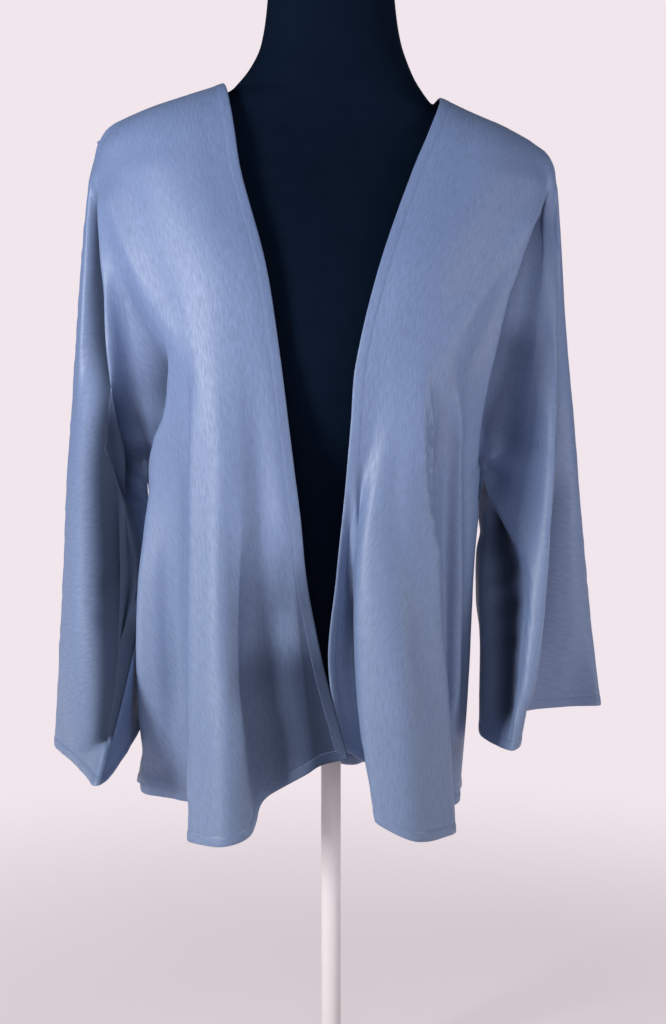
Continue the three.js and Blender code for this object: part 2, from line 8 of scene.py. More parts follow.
import bpy
import numpy as np
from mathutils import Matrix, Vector


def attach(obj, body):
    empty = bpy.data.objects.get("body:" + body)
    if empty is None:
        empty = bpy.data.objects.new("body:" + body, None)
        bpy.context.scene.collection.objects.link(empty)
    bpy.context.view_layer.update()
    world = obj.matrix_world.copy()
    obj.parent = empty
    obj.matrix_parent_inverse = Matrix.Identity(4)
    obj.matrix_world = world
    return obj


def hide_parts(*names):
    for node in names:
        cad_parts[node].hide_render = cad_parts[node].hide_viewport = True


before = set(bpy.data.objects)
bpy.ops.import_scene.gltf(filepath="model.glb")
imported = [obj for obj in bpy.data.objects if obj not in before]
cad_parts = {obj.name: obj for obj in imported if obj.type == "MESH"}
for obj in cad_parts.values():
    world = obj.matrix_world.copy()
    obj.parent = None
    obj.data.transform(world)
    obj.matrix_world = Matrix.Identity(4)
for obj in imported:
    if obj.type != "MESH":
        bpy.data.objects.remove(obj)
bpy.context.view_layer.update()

# ---- Driving sizes, in millimetres ---------------------------------------------------------------------
MM = 0.001
BASE_THICK = 14.0
CLOTH = 1.0  # thickness of a cloth shell
FORM_CLEARANCE = 4.2
RESTS_ABOVE = 780  # from here up the cloth lies on the form's shoulders
PUSH_SOFTNESS = 5.0
YOKE_Z = 800.0  # the highest section; above it the cloth turns over the shoulder
UNDERARM_Z = 540.0
FORM_BOTTOM = 345.0
FORM_TOP = 1005.0
FORM_SQUARENESS = 2.3
ROOF = 0.28  # how soon the cloth turns down over the shoulder
STEPS = 12  # points from one line of a table to the next
HEM_DEPTH = 8.0  # from the folded edge to its row of stitches
STITCH_PITCH = 2.6

CAMERA = {"azimuth": -8.0, "distance": 1350.0, "height": 599.0, "pitch": 3.13, "lens": 52.73, "shift": 0.002}
PALE = (0.879, 0.791, 0.839)  # the studio's backdrop


# ---- Camera, light and stage ---------------------------------------------------------------------------
def add_camera():
    azimuth = math.radians(CAMERA["azimuth"])
    pitch = math.radians(CAMERA["pitch"])
    data = bpy.data.cameras.new("camera")
    data.lens = CAMERA["lens"]
    data.sensor_width = 36.0
    data.shift_x = CAMERA["shift"]
    data.clip_start = 0.05
    data.clip_end = 60.0
    camera = bpy.data.objects.new("camera", data)
    bpy.context.scene.collection.objects.link(camera)
    reach = CAMERA["distance"] * MM
    camera.location = (reach * math.sin(azimuth), -reach * math.cos(azimuth), CAMERA["height"] * MM)
    ahead = Vector((
        -math.sin(azimuth) * math.cos(pitch),
        math.cos(azimuth) * math.cos(pitch),
        -math.sin(pitch),
    ))
    camera.rotation_euler = ahead.to_track_quat("-Z", "Y").to_euler()
    bpy.context.scene.camera = camera


def add_area(name, place, target, size, power, colour):
    data = bpy.data.lights.new(name, "AREA")
    data.shape = "RECTANGLE"
    data.size, data.size_y = size
    data.energy = power
    data.color = colour
    lamp = bpy.data.objects.new(name, data)
    bpy.context.scene.collection.objects.link(lamp)
    lamp.location = place
    ahead = Vector(target) - Vector(place)
    lamp.rotation_euler = ahead.to_track_quat("-Z", "Y").to_euler()


def add_lights():
    add_area("key", (-1.62, -1.12, 0.98), (0.0, -0.05, 0.6), (0.55, 0.7), 39.0, (1.0, 0.99, 0.97))
    add_area("fill", (-0.3, -1.9, 1.3), (0.0, 0.0, 0.6), (0.7, 0.7), 7.5, (0.96, 0.97, 0.98))
    add_area("side_right", (1.45, -0.75, 0.9), (0.08, 0.0, 0.6), (0.4, 1.0), 9.0, (0.97, 0.96, 0.95))
    add_area("behind", (0.5, 1.7, 1.2), (0.0, 0.0, 0.6), (0.8, 0.8), 6.0, (0.98, 0.98, 1.0))
    world = bpy.data.worlds.new("studio")
    world.use_nodes = True
    sky = world.node_tree.nodes["Background"]
    sky.inputs["Color"].default_value = (0.80, 0.80, 0.86, 1.0)
    sky.inputs["Strength"].default_value = 0.05
    bpy.context.scene.world = world
    bpy.context.scene.view_settings.view_transform = "Standard"
    bpy.context.scene.view_settings.look = "None"


# ---- Section tables ------------------------------------------------------------------------------------
FORM_SECTIONS = {  # half width and depth before and behind the axis at each height
    "z": [345, 350, 362, 420, 480, 540, 590, 645, 700, 750, 795, 816, 830, 841, 852, 866, 878, 887, 904,
        924, 963, 990, 1001, 1005],
    "half_width": [97, 102, 104, 101, 100, 106, 116, 128, 144, 168, 190, 198, 195, 184, 160, 127, 95, 84,
        71, 62, 56, 56, 54, 50],
    "front": [75, 80, 82, 80, 81, 92, 107, 115, 108, 93, 76, 68, 64, 61, 59, 58, 58, 58, 57, 56, 53, 53, 51,
        47],
    "back": [67, 72, 74, 67, 64, 70, 77, 82, 84, 84, 83, 81, 79, 78, 76, 73, 69, 66, 62, 59, 55, 55, 53,
        49],
}

SHOULDER = {  # height of the cloth on each side over each distance from the middle
    "out": [0, 50, 78, 95, 127, 160, 186, 197, 206],
    "right": [883, 887, 890, 885, 873, 862.5, 851.5, 845, 833],
    "left": [883, 885, 881, 875.5, 863, 850.5, 839, 832, 819],
}
DROOP = {"size": 9, "inner": 40, "outer": 95, "foot": 745, "full": 805, "neck": 895, "head": 925}

# Each row is one section, and gives x and y for each line down the cloth in turn. "top" is on
# the shoulder line, the numbers are heights, and "waist", "hip" and "hem" lie at the parts LOWER of the way
# from the underarm to the hem. The hem's row gives the height too.
LOWER = {"waist": 0.33, "hip": 0.67, "hem": 1.0}
SECTION_HEIGHTS = [800, 720, 640, 590, 540]

RIGHT_FRONT = {
    "lines": ["edge", "lap", "valley", "flute_in", "flute", "flute_out", "tuck", "fold", "side", "seam"],
    "top": [-98, 0, -105, 0, -113, 0, -122, 0, -132, 0, -143, 0, -154, 0, -165, 0, -176, 0, -186, 0],
    "800": [-88, -84, -98, -84, -110, -83, -123, -82, -136, -79, -149, -74, -161, -67, -173, -57, -184, -46,
        -194, -34],
    "720": [-70, -110, -81, -112, -94, -112, -108, -110, -123, -105, -138, -97, -152, -86, -166, -73,
        -178, -60, -190, -46],
    "640": [-59, -122, -70, -124, -83, -124, -98, -123, -113, -119, -127, -111, -138, -97, -147, -80,
        -157, -60, -176, -42],
    "590": [-53, -124, -65, -126, -79, -124, -94, -125, -111, -121, -126, -110, -136, -90, -146, -70,
        -158, -50, -173, -26],
    "540": [-47, -126, -60, -127, -76, -122, -92, -126, -110, -123, -126, -108, -134, -80, -146, -54,
        -163, -28, -164, 4],
    "waist": [-37, -127, -50, -128, -74, -117, -91, -131, -110, -130, -128, -110, -131, -64, -149, -38,
        -172, -25, -154, 3],
    "hip": [-23, -128, -42, -127, -73, -110, -90, -136, -109, -138, -130, -112, -124, -48, -146, -33,
        -173, -23, -158, 3],
    "hem": [-4, -128, 312, -34, -124, 303, -64, -105, 280, -86, -136, 255, -108, -144, 250, -131, -114, 249,
        -116, -40, 258, -140, -24, 260, -166, -13, 264, -168, 8, 266],
}

LEFT_FRONT = {
    "lines": ["edge", "lap", "valley", "flute_in", "flute", "flute_out", "tuck", "fold", "side", "seam"],
    "top": [93, 0, 101, 0, 109, 0, 119, 0, 130, 0, 141, 0, 152, 0, 163, 0, 174, 0, 184, 0],
    "800": [57, -84, 70, -86, 84, -86, 99, -84, 114, -82, 129, -78, 144, -71, 160, -61, 176, -49, 188, -34],
    "720": [25, -112, 37, -114, 50, -115, 65, -114, 82, -111, 99, -105, 116, -96, 134, -85, 151, -72,
        170, -46],
    "640": [4, -121, 14, -123, 26, -124, 42, -125, 60, -125, 79, -120, 96, -110, 111, -97, 127, -79,
        152, -42],
    "590": [0, -121, 8, -122, 18, -123, 34, -128, 54, -129, 76, -119, 90, -105, 104, -93, 119, -72,
        144, -29],
    "540": [-4, -120, 3, -120, 9, -119, 20, -129, 46, -132, 73, -116, 85, -96, 98, -88, 119, -63, 138, -12],
    "waist": [-10, -119, -2, -115, 7, -110, 6, -129, 40, -138, 76, -113, 86, -84, 98, -79, 119, -52,
        120, -25],
    "hip": [-17, -117, -4, -111, 13, -104, 9, -130, 42, -144, 82, -110, 88, -77, 99, -72, 116, -46,
        116, -29],
    "hem": [-6, -114, 320, 4, -109, 314, 20, -102, 300, 17, -132, 268, 46, -147, 250, 88, -108, 246,
        89, -70, 254, 99, -64, 256, 107, -53, 258, 104, -38, 260],
}

RIGHT_BACK = {
    "lines": ["seam", "flank", "fold_out", "hollow", "neck", "fold_in", "centre"],
    "top": [-186, 0, -172, 0, -154, 0, -128, 0, -98, 0, -56, 65, 0, 74],
    "800": [-192, 30, -176, 52, -155, 68, -126, 80, -92, 86, -48, 89, 0, 90],
    "720": [-186, 34, -170, 58, -148, 76, -118, 87, -84, 91, -44, 93, 0, 93],
    "640": [-176, 34, -160, 58, -140, 78, -110, 86, -76, 95, -40, 93, 0, 97],
    "590": [-170, 22, -158, 52, -138, 76, -106, 84, -72, 97, -38, 92, 0, 99],
    "540": [-164, 4, -156, 38, -138, 70, -104, 78, -70, 99, -36, 90, 0, 101],
    "waist": [-154, 3, -147, 34, -136, 72, -100, 76, -68, 103, -36, 88, 0, 105],
    "hip": [-158, 3, -158, 32, -142, 78, -98, 75, -66, 108, -34, 87, 0, 109],
    "hem": [-168, 8, 266, -174, 36, 264, -150, 84, 262, -98, 74, 262, -64, 112, 262, -32, 86, 262,
        0, 113, 262],
}

LEFT_BACK = {
    "lines": ["seam", "flank", "fold_out", "hollow", "neck", "fold_in", "centre"],
    "top": [184, 0, 170, 0, 152, 0, 124, 0, 93, 0, 54, 65, 0, 74],
    "800": [188, 30, 174, 52, 154, 68, 125, 80, 90, 86, 48, 89, 0, 90],
    "720": [176, 32, 164, 56, 146, 74, 116, 87, 82, 91, 44, 93, 0, 93],
    "640": [160, 26, 152, 54, 136, 76, 108, 86, 74, 95, 40, 93, 0, 97],
    "590": [148, 8, 146, 44, 130, 72, 104, 84, 72, 97, 38, 92, 0, 99],
    "540": [138, -12, 134, 28, 124, 64, 100, 78, 70, 99, 36, 90, 0, 101],
    "waist": [120, -25, 120, 12, 117, 58, 96, 76, 68, 103, 36, 88, 0, 105],
    "hip": [116, -29, 121, 6, 119, 56, 94, 76, 66, 108, 34, 87, 0, 109],
    "hem": [104, -38, 260, 117, -14, 260, 121, 50, 261, 92, 77, 262, 64, 112, 262, 32, 86, 262,
        0, 113, 262],
}

RIGHT_SLEEVE = {
    "lines": ["near", "face", "valley", "outer", "over", "back_outer", "back_mid", "back_in", "back_near",
        "under"],
    "top": [-191, 0, -195, 0, -199, 0, -202, 0, -205, 1, -202, 2, -199, 2, -195, 2, -191, 1, -186, 0],
    "800": [-202, -24, -207, -17, -210, -10, -212, -3, -213, 4, -211, 12, -207, 18, -203, 23, -198, 27,
        -192, 30],
    "720": [-200, -37, -207, -28, -213, -17, -218, -5, -221, 8, -218, 20, -212, 28, -204, 33, -195, 35,
        -186, 34],
    "640": [-196, -48, -206, -38, -214, -22, -222, -5, -227, 14, -223, 30, -213, 40, -200, 43, -187, 41,
        -176, 34],
    "590": [-193, -50, -205, -38, -214, -20, -226, -2, -231, 20, -226, 37, -213, 47, -197, 48, -181, 40,
        -170, 22],
    "540": [-184, -38, -199, -30, -214, -15, -229, 3, -235, 26, -229, 43, -213, 53, -193, 51, -174, 34,
        -164, 4],
    "waist": [-169, -6, -187, -16, -209, -8, -231, 10, -239, 36, -231, 55, -208, 62, -182, 53, -167, 32,
        -164, 10],
    "hip": [-187, -40, -197, -38, -214, -16, -235, 18, -244, 48, -233, 68, -206, 72, -178, 52, -171, 8,
        -182, -34],
    "hem": [-210, -89, 290, -216, -64, 290, -226, -22, 291, -241, 24, 294, -249, 58, 297, -236, 80, 302,
        -202, 84, 312, -169, 60, 322, -183, -20, 305, -205, -87, 291],
}

LEFT_SLEEVE = {
    "lines": ["near", "ridge", "valley", "outer", "over", "back_outer", "back_mid", "back_in", "back_near",
        "under"],
    "top": [189, 0, 193, 0, 196, 0, 199, 0, 202, 0, 200, 1, 197, 1, 194, 1, 189, 1, 184, 0],
    "800": [194, -31, 199, -24, 203, -16, 205, -8, 206, 0, 205, 8, 202, 15, 198, 21, 194, 26, 188, 30],
    "720": [184, -46, 199, -36, 205, -24, 210, -11, 212, 2, 209, 13, 204, 23, 196, 31, 186, 34, 176, 32],
    "640": [174, -49, 196, -50, 204, -31, 214, -15, 219, 3, 215, 18, 205, 30, 190, 37, 174, 36, 160, 26],
    "590": [168, -46, 191, -60, 200, -34, 217, -17, 224, 4, 218, 22, 203, 35, 182, 40, 162, 30, 148, 8],
    "540": [164, -46, 187, -67, 196, -34, 220, -18, 229, 4, 222, 26, 201, 40, 173, 38, 148, 15, 138, -12],
    "waist": [167, -77, 177, -79, 184, -34, 222, -16, 237, 3, 229, 27, 199, 38, 162, 28, 135, -12,
        160, -68],
    "hip": [159, -92, 165, -91, 176, -26, 226, -13, 244, -1, 235, 24, 199, 36, 158, 22, 134, -20, 154, -87],
    "hem": [144, -97, 311, 150, -93, 313, 170, -18, 327, 219, -4, 330, 251, -7, 331, 241, 18, 331,
        201, 35, 330, 155, 18, 322, 131, -32, 313, 141, -95, 311],
}

# Folds on top of the tables. "rise" is how far the fold stands off the cloth in millimetres,
# "width" how far it reaches, and the list is its path, in pairs of a table line and a height. "start" and
# "end" are the parts of the path over which it dies away, "power" how steeply it falls off to its sides,
# and "shade" how much painted shade its hollow gets in the crepe's colour. A fold with "drop" is turned
# under on one side, that of the rising line numbers where "over" is 1: there the cloth falls away by nearly
# "drop" and comes back over "under" millimetres, and "edge" is how sharp its edge is.
def fold(rise, width, path, **more):
    places = [path[i:i + 2] for i in range(0, len(path), 2)]
    return {"rise": rise, "width": width, "path": places, **more}


FOLDS = {
    "front_right": {
        "chest_over_sleeve": fold(3.0, 15, [10.2, 806, 10.15, 770, 10.15, 700, 10.2, 650, 10.25, 600],
            drop=26.0, under=30, over=1, start=0.22, end=0.36, shade=1.7),
        "sleeve_hollow": fold(-17.0, 26, [10.7, 660, 10.9, 575, 11.1, 480, 11.2, 438, 11.1, 386, 10.8, 318],
            power=1.4, start=0.3, end=0.02, shade=2.0),
        "shoulder_drape": fold(5.5, 13, [9.2, 806, 8.6, 771, 7.8, 730, 7.1, 690, 6.2, 658, 5.5, 625],
            start=0.15, end=0.3),
        "under_shoulder_drape": fold(-8.0, 16, [9.1, 735, 8.7, 690, 8.2, 640, 8.5, 590]),
        "side_over_hollow": fold(4.0, 14, [6.8, 662, 7.2, 640, 7.5, 615, 7.9, 580, 8.05, 550, 8.1, 520],
            drop=17.0, under=20, over=1, start=0.25, end=0.35),
        "side_edge_low": fold(3.0, 12, [7.8, 560, 7.9, 500, 8.0, 440, 8.0, 360, 8.0, 290], drop=6.0,
            under=12, over=1, start=0.2, end=0.2),
        "armpit_dart": fold(-9.0, 6, [9.9, 575, 9.6, 568, 9.3, 556, 9.0, 545], start=0.2, end=0.2),
        "armpit_wedge": fold(4.2, 7, [9.6, 592, 9.2, 575, 8.8, 565]),
        "armpit_dart_low": fold(-5.0, 6, [9.8, 554, 9.5, 541, 9.3, 526]),
        "flute_edge": fold(7.5, 11, [5.4, 645, 5.25, 600, 5.2, 540, 5.15, 460, 5.1, 380, 5.1, 310,
            5.0, 251], drop=11.0, under=16, over=1, edge=2.4, start=0.3, end=0.0),
        "lap_set_back": fold(-13.0, 36, [0.4, 520, 0.4, 450, 0.5, 380, 0.5, 318], start=0.4, end=0.0),
        "flute_valley": fold(-7.0, 20, [2.9, 520, 2.7, 450, 2.5, 390, 2.3, 340, 2.3, 288], start=0.4,
            end=0.0, shade=0.75),
        "lap_low_hollow": fold(-3.0, 44, [1.2, 420, 1.2, 360, 1.2, 314], start=0.4, end=0.0, shade=2.4),
        "lap_crease": fold(-3.5, 11, [0.9, 505, 1.5, 445, 1.8, 404, 2.1, 350], power=1.3, shade=0.5),
        "lap_crease_lip": fold(1.6, 11, [0.7, 480, 1.1, 430, 1.4, 390]),
        "bust_line": fold(2.0, 16, [4.2, 640, 3.9, 560, 3.9, 470, 4.0, 380]),
        "waist_pull": fold(-3.0, 12, [3.6, 560, 3.4, 480, 3.3, 400, 3.2, 330]),
        "side_ripple": fold(-4.5, 11, [6.6, 580, 6.6, 480, 6.7, 400, 6.9, 310]),
        "side_ripple_crest": fold(3.0, 9, [7.3, 520, 7.3, 420, 7.3, 340, 7.4, 280]),
        "hem_dent": fold(-4.5, 8, [7.0, 292, 7.4, 282, 7.9, 275]),
        "hem_dent_crest": fold(3.4, 7, [8.3, 300, 8.4, 280, 8.4, 262], end=0.0),
        "sleeve_outer": fold(3.0, 13, [12.4, 740, 12.5, 640, 12.5, 523, 12.7, 420, 12.7, 335]),
        "elbow_pull": fold(-2.4, 7, [10.3, 470, 11.2, 452, 12.2, 446]),
        "elbow_pull_low": fold(-2.0, 6, [10.6, 430, 11.4, 420, 12.4, 418]),
        "cuff_roll": fold(2.6, 10, [9.8, 330, 10.6, 322, 11.4, 318]),
    },
    "front_left": {
        "chest_over_sleeve": fold(4.0, 17, [9.0, 812, 8.5, 790, 8.0, 760, 7.9, 730, 7.95, 690, 8.0, 640,
            8.0, 600, 8.0, 570, 8.05, 548], drop=22.0, under=28, over=1, start=0.12, end=0.06),
        "front_facet": fold(3.6, 12, [8.4, 790, 7.4, 748, 6.3, 698, 5.3, 662, 4.5, 640]),
        "under_facet": fold(-4.0, 14, [7.7, 725, 7.2, 680, 6.5, 640, 6.0, 615]),
        "sleeve_hollow": fold(-6.0, 16, [9.1, 690, 9.25, 630, 9.4, 585, 9.4, 552], end=0.15),
        "armhole_pucker": fold(5.0, 7, [8.6, 585, 8.9, 568, 9.2, 556]),
        "underarm_dart": fold(-6.5, 6, [8.4, 562, 8.8, 553, 9.3, 543, 9.8, 540]),
        "flute_edge": fold(7.5, 12, [4.1, 640, 4.4, 610, 4.7, 569, 4.9, 500, 4.95, 430, 5.0, 360, 5.0, 300,
            5.0, 248], drop=12.0, under=14, over=1, edge=2.4, start=0.2, end=0.0),
        "narrow_ridge": fold(7.0, 7.5, [5.7, 632, 6.1, 594, 6.7, 543, 6.9, 475, 6.9, 403, 6.8, 351,
            6.5, 305], start=0.15, end=0.2),
        "narrow_ridge_side": fold(-5.0, 8, [6.6, 600, 7.4, 540, 7.5, 475, 7.5, 403, 7.4, 330]),
        "flute_inner_edge": fold(4.0, 14, [0.9, 560, 1.3, 512, 1.8, 470, 2.3, 427, 2.7, 359, 2.95, 307,
            3.1, 262], drop=9.0, under=14, over=-1, start=0.35, end=0.0, shade=1.5),
        "flute_crest": fold(2.2, 16, [2.4, 560, 3.2, 480, 3.7, 400, 4.0, 320]),
        "flute_dip": fold(-3.0, 12, [3.3, 600, 3.7, 520, 4.3, 440, 4.4, 350]),
        "sleeve_fold": fold(5.0, 13, [10.9, 700, 10.95, 620, 11.0, 569, 11.0, 500, 11.0, 440, 11.0, 388,
            11.0, 345], drop=21.0, under=20, over=1, start=0.35, end=0.05, shade=1.7),
        "sleeve_recess": fold(-6.0, 14, [12.2, 560, 12.3, 485, 12.2, 431, 12.1, 370]),
        "sleeve_outer": fold(2.4, 12, [13.1, 700, 13.1, 600, 13.2, 500, 13.3, 400]),
    },
    "back": {
        "yoke_drag_right": fold(2.4, 14, [0.2, 800, 1.3, 745, 2.6, 700, 3.8, 670]),
        "yoke_drag_left": fold(2.2, 14, [11.8, 795, 10.6, 742, 9.5, 705, 8.3, 668]),
        "underarm_drag_right": fold(-4.0, 10, [-0.1, 585, 0.8, 610, 1.8, 648, 2.8, 690]),
        "underarm_drag_left": fold(-4.0, 10, [12.1, 580, 11.2, 612, 10.2, 655, 9.4, 700]),
        "underarm_dart_right": fold(-7.0, 6, [-0.8, 590, -0.3, 572, 0.2, 556, 0.6, 545]),
        "underarm_dart_left": fold(-7.0, 6, [12.8, 592, 12.3, 575, 11.9, 560, 11.5, 548]),
        "chest_over_sleeve_right": fold(3.0, 14, [-0.4, 800, -0.1, 740, 0.0, 680, 0.05, 620, 0.1, 575],
            drop=14.0, under=15, over=-1, start=0.2, end=0.12),
        "chest_over_sleeve_left": fold(3.0, 14, [12.3, 796, 12.1, 738, 12.0, 684, 11.95, 625, 11.9, 578],
            drop=14.0, under=15, over=1, start=0.2, end=0.12),
        "flank_edge_right": fold(3.6, 12, [1.7, 640, 1.9, 560, 2.0, 480, 2.0, 400, 2.0, 330, 2.0, 263],
            drop=8.0, under=12, over=-1, start=0.3, end=0.0),
        "flank_edge_left": fold(3.4, 12, [10.2, 632, 10.1, 555, 10.0, 480, 10.0, 405, 10.0, 335, 10.0, 263],
            drop=7.0, under=12, over=1, start=0.3, end=0.0),
        "valley_right": fold(-5.0, 14, [3.0, 600, 3.1, 500, 3.0, 400, 3.0, 264], start=0.4, end=0.0),
        "valley_left": fold(-5.5, 13, [9.1, 585, 8.9, 500, 9.0, 400, 9.0, 264], start=0.4, end=0.0),
        "crest_right": fold(3.6, 11, [4.2, 640, 4.1, 540, 4.0, 440, 4.0, 340, 4.0, 262], start=0.3,
            end=0.0),
        "crest_left": fold(3.2, 11, [7.9, 660, 8.0, 560, 8.0, 440, 8.0, 340, 8.0, 262], start=0.3, end=0.0),
        "middle_valley_right": fold(-3.2, 10, [5.1, 560, 5.0, 460, 5.0, 360, 5.0, 262], start=0.4, end=0.0),
        "middle_valley_left": fold(-3.6, 10, [6.9, 600, 7.0, 480, 7.0, 370, 7.0, 262], start=0.4, end=0.0),
        "neck_drag_right": fold(1.6, 10, [4.4, 850, 4.0, 800, 3.3, 745]),
        "neck_drag_left": fold(1.6, 10, [7.6, 852, 8.1, 795, 8.8, 742]),
        "sleeve_back_hollow_right": fold(-7.0, 14, [-1.6, 700, -1.8, 600, -2.0, 500, -2.0, 400, -2.0, 340]),
        "sleeve_back_crest_right": fold(3.4, 12, [-3.2, 720, -3.3, 600, -3.4, 480, -3.5, 350]),
        "sleeve_back_hollow_left": fold(-7.0, 14, [13.5, 690, 13.8, 600, 14.0, 500, 14.0, 400, 13.8, 350]),
        "sleeve_back_crest_left": fold(3.4, 12, [15.1, 715, 15.3, 600, 15.4, 480, 15.4, 360]),
        "elbow_pull_right": fold(-2.6, 7, [-0.5, 470, -1.6, 484, -2.8, 500]),
        "seam_pucker_high": fold(-3.4, 5, [12.15, 474, 12.5, 462, 12.9, 447]),
        "seam_pucker_mid": fold(-3.2, 5, [12.15, 440, 12.5, 430, 13.0, 418]),
        "seam_pucker_ridge": fold(2.4, 5, [12.15, 456, 12.6, 444, 13.1, 432]),
        "seam_pucker_low": fold(-2.2, 5, [12.15, 404, 12.6, 398, 13.0, 388]),
        "sleeve_under_left": fold(-14.0, 19, [12.5, 520, 12.5, 470, 12.5, 420, 12.45, 345], start=0.12,
            end=0.0, shade=1.5),
        "sleeve_inner_roll": fold(13.0, 15, [13.1, 582, 13.4, 540, 13.6, 500, 13.7, 430, 13.6, 380],
            start=0.08, shade=0.0),
        "elbow_pull_left": fold(-2.6, 7, [12.4, 478, 13.5, 490, 14.7, 512]),
    },
}

# ---- Points of the cloth -------------------------------------------------------------------------------
def mix(a, b, part):
    return a + (b - a) * part


def smooth(low, high, value):
    part = np.clip((value - low) / (high - low), 0.0, 1.0)
    return part * part * (3 - 2 * part)


def look_up(keys, values, at):
    """Values at the places asked for, smooth between a table's rising keys."""
    keys = np.asarray(keys, float)
    values = np.asarray(values, float)
    at = np.clip(np.asarray(at, float), keys[0], keys[-1])
    last = len(keys) - 1
    i = np.clip(np.searchsorted(keys, at, side="right") - 1, 0, last - 1)
    before = np.maximum(i - 1, 0)
    after = np.minimum(i + 2, last)
    step = keys[i + 1] - keys[i]
    leaving = (values[i + 1] - values[before]) / (keys[i + 1] - keys[before]) * step
    arriving = (values[after] - values[i]) / (keys[after] - keys[i]) * step
    t = (at - keys[i]) / step
    t2 = t * t
    t3 = t2 * t
    return ((2 * t3 - 3 * t2 + 1) * values[i] + (t3 - 2 * t2 + t) * leaving
            + (3 * t2 - 2 * t3) * values[i + 1] + (t3 - t2) * arriving)


def form_size(column, z):
    return look_up(FORM_SECTIONS["z"], FORM_SECTIONS[column], z)


def droop(x, z):
    """How much lower than the right one the form's left shoulder hangs."""
    up = smooth(DROOP["foot"], DROOP["full"], z) * (1 - smooth(DROOP["neck"], DROOP["head"], z))
    return DROOP["size"] * smooth(DROOP["inner"], DROOP["outer"], x) * up


def clear_of_form(points):
    """Moves points of the cloth forward or back until they clear the form."""
    x, y, height = points[..., 0], points[..., 1], points[..., 2]
    z = np.where(height > RESTS_ABOVE, height - FORM_CLEARANCE, height) + droop(x, height)
    half = form_size("half_width", z) + FORM_CLEARANCE
    depth = np.where(y < 0, form_size("front", z), form_size("back", z)) + FORM_CLEARANCE
    across = np.clip(np.abs(x) / half, 0.0, 1.0)
    least = depth * np.power(1 - np.power(across, FORM_SQUARENESS), 1 / FORM_SQUARENESS)
    apart = np.abs(y) - least
    most = (np.abs(y) + least + np.hypot(apart, PUSH_SOFTNESS)) / 2
    free = (across >= 1) | (z < FORM_BOTTOM - FORM_CLEARANCE) | (np.abs(y) < 0.5)
    result = points.copy()
    result[..., 1] = np.where(free, y, np.sign(y) * most)
    return result


# Rows down each line: parts of the way over the shoulder, heights, then parts of the way to the hem, and
# last the distances from the folded edge.
SHOULDER_ROWS = [0, 0.008, 0.025, 0.055, 0.09, 0.135, 0.18, 0.23, 0.28, 0.33, 0.38, 0.43, 0.49, 0.55]
CHAIN_ROWS = [0.61, 0.68, 0.75, 0.82, 0.88, 0.94, 1.0]
HEIGHT_STEPS = 82
LOWER_STEPS = 72
EDGE_ROWS = [8.4, 6.5, 4.5, 2.5, 1.0, 0.0]
EDGE_GAP = 2.5
UNDERARM_ROW = len(SHOULDER_ROWS) + len(CHAIN_ROWS) + HEIGHT_STEPS - 1


def cell(table, row, column):
    """What a section table's row says about one line."""
    size = 3 if row == "hem" else 2
    return table[row][column * size:(column + 1) * size]


def points_down(table, column):
    """All the points down one line of a section table."""
    hem = cell(table, "hem", column)
    top = cell(table, "top", column)
    drop = UNDERARM_Z - hem[2]
    knots = [(float(z), *cell(table, str(z), column)) for z in SECTION_HEIGHTS]
    knots += [(UNDERARM_Z - drop * part, *cell(table, name, column)[:2]) for name, part in LOWER.items()]
    top_z = float(look_up(SHOULDER["out"], SHOULDER["right" if top[0] < 0 else "left"], abs(top[0])))
    roof = ROOF if abs(top[1]) < 5 else 1.0

    def over(part):
        x = mix(top[0], knots[0][1], part)
        return (x, mix(top[1], knots[0][2], part ** roof), mix(top_z, YOKE_Z, part))

    before = over(SHOULDER_ROWS[-1])
    chain = np.array([(before[2], before[0], before[1])] + knots)[::-1]
    heights = [mix(top_z, YOKE_Z, part) for part in CHAIN_ROWS]
    heights += [mix(YOKE_Z, UNDERARM_Z, i / HEIGHT_STEPS) for i in range(1, HEIGHT_STEPS + 1)]
    end = 1 - (EDGE_ROWS[0] + EDGE_GAP) / drop
    heights += [UNDERARM_Z - drop * end * i / LOWER_STEPS for i in range(1, LOWER_STEPS + 1)]
    heights += [hem[2] + d for d in EDGE_ROWS]
    z = np.array(heights)
    x = look_up(chain[:, 0], chain[:, 1], z)
    y = look_up(chain[:, 0], chain[:, 2], z)
    return np.vstack([np.array([over(part) for part in SHOULDER_ROWS]), np.column_stack([x, y, z])])


def lines_of(table):
    """Points as rows x lines x 3."""
    return np.stack([points_down(table, column) for column in range(len(table["lines"]))], axis=1)


def through(points, before=None, after=None):
    """Points along each row, smooth through its lines, with STEPS points from each line to the next."""
    first = 2 * points[:, :1] - points[:, 1:2] if before is None else before[:, None]
    last = 2 * points[:, -1:] - points[:, -2:-1] if after is None else after[:, None]
    p = np.concatenate([first, points, last], axis=1)
    gap = np.sqrt(np.maximum(np.linalg.norm(np.diff(p, axis=1), axis=2, keepdims=True), 1e-4))
    out = []
    for i in range(1, p.shape[1] - 2):
        x0, x1, x2, x3 = p[:, i - 1], p[:, i], p[:, i + 1], p[:, i + 2]
        d0, d1, d2 = gap[:, i - 1], gap[:, i], gap[:, i + 1]
        leaving = ((x1 - x0) / d0 - (x2 - x0) / (d0 + d1) + (x2 - x1) / d1) * d1
        arriving = ((x2 - x1) / d1 - (x3 - x1) / (d1 + d2) + (x3 - x2) / d2) * d1
        for k in range(STEPS):
            t = k / STEPS
            t2, t3 = t * t, t ** 3
            out.append((2 * t3 - 3 * t2 + 1) * x1 + (t3 - 2 * t2 + t) * leaving
                       + (3 * t2 - 2 * t3) * x2 + (t3 - t2) * arriving)
    out.append(p[:, -2])
    return np.stack(out, axis=1)


SEAM_SLACK = 3  # points this near to the middle plane lie on the shoulder seam
FORK = 34.0  # the underarm's fork opens over this many millimetres below it


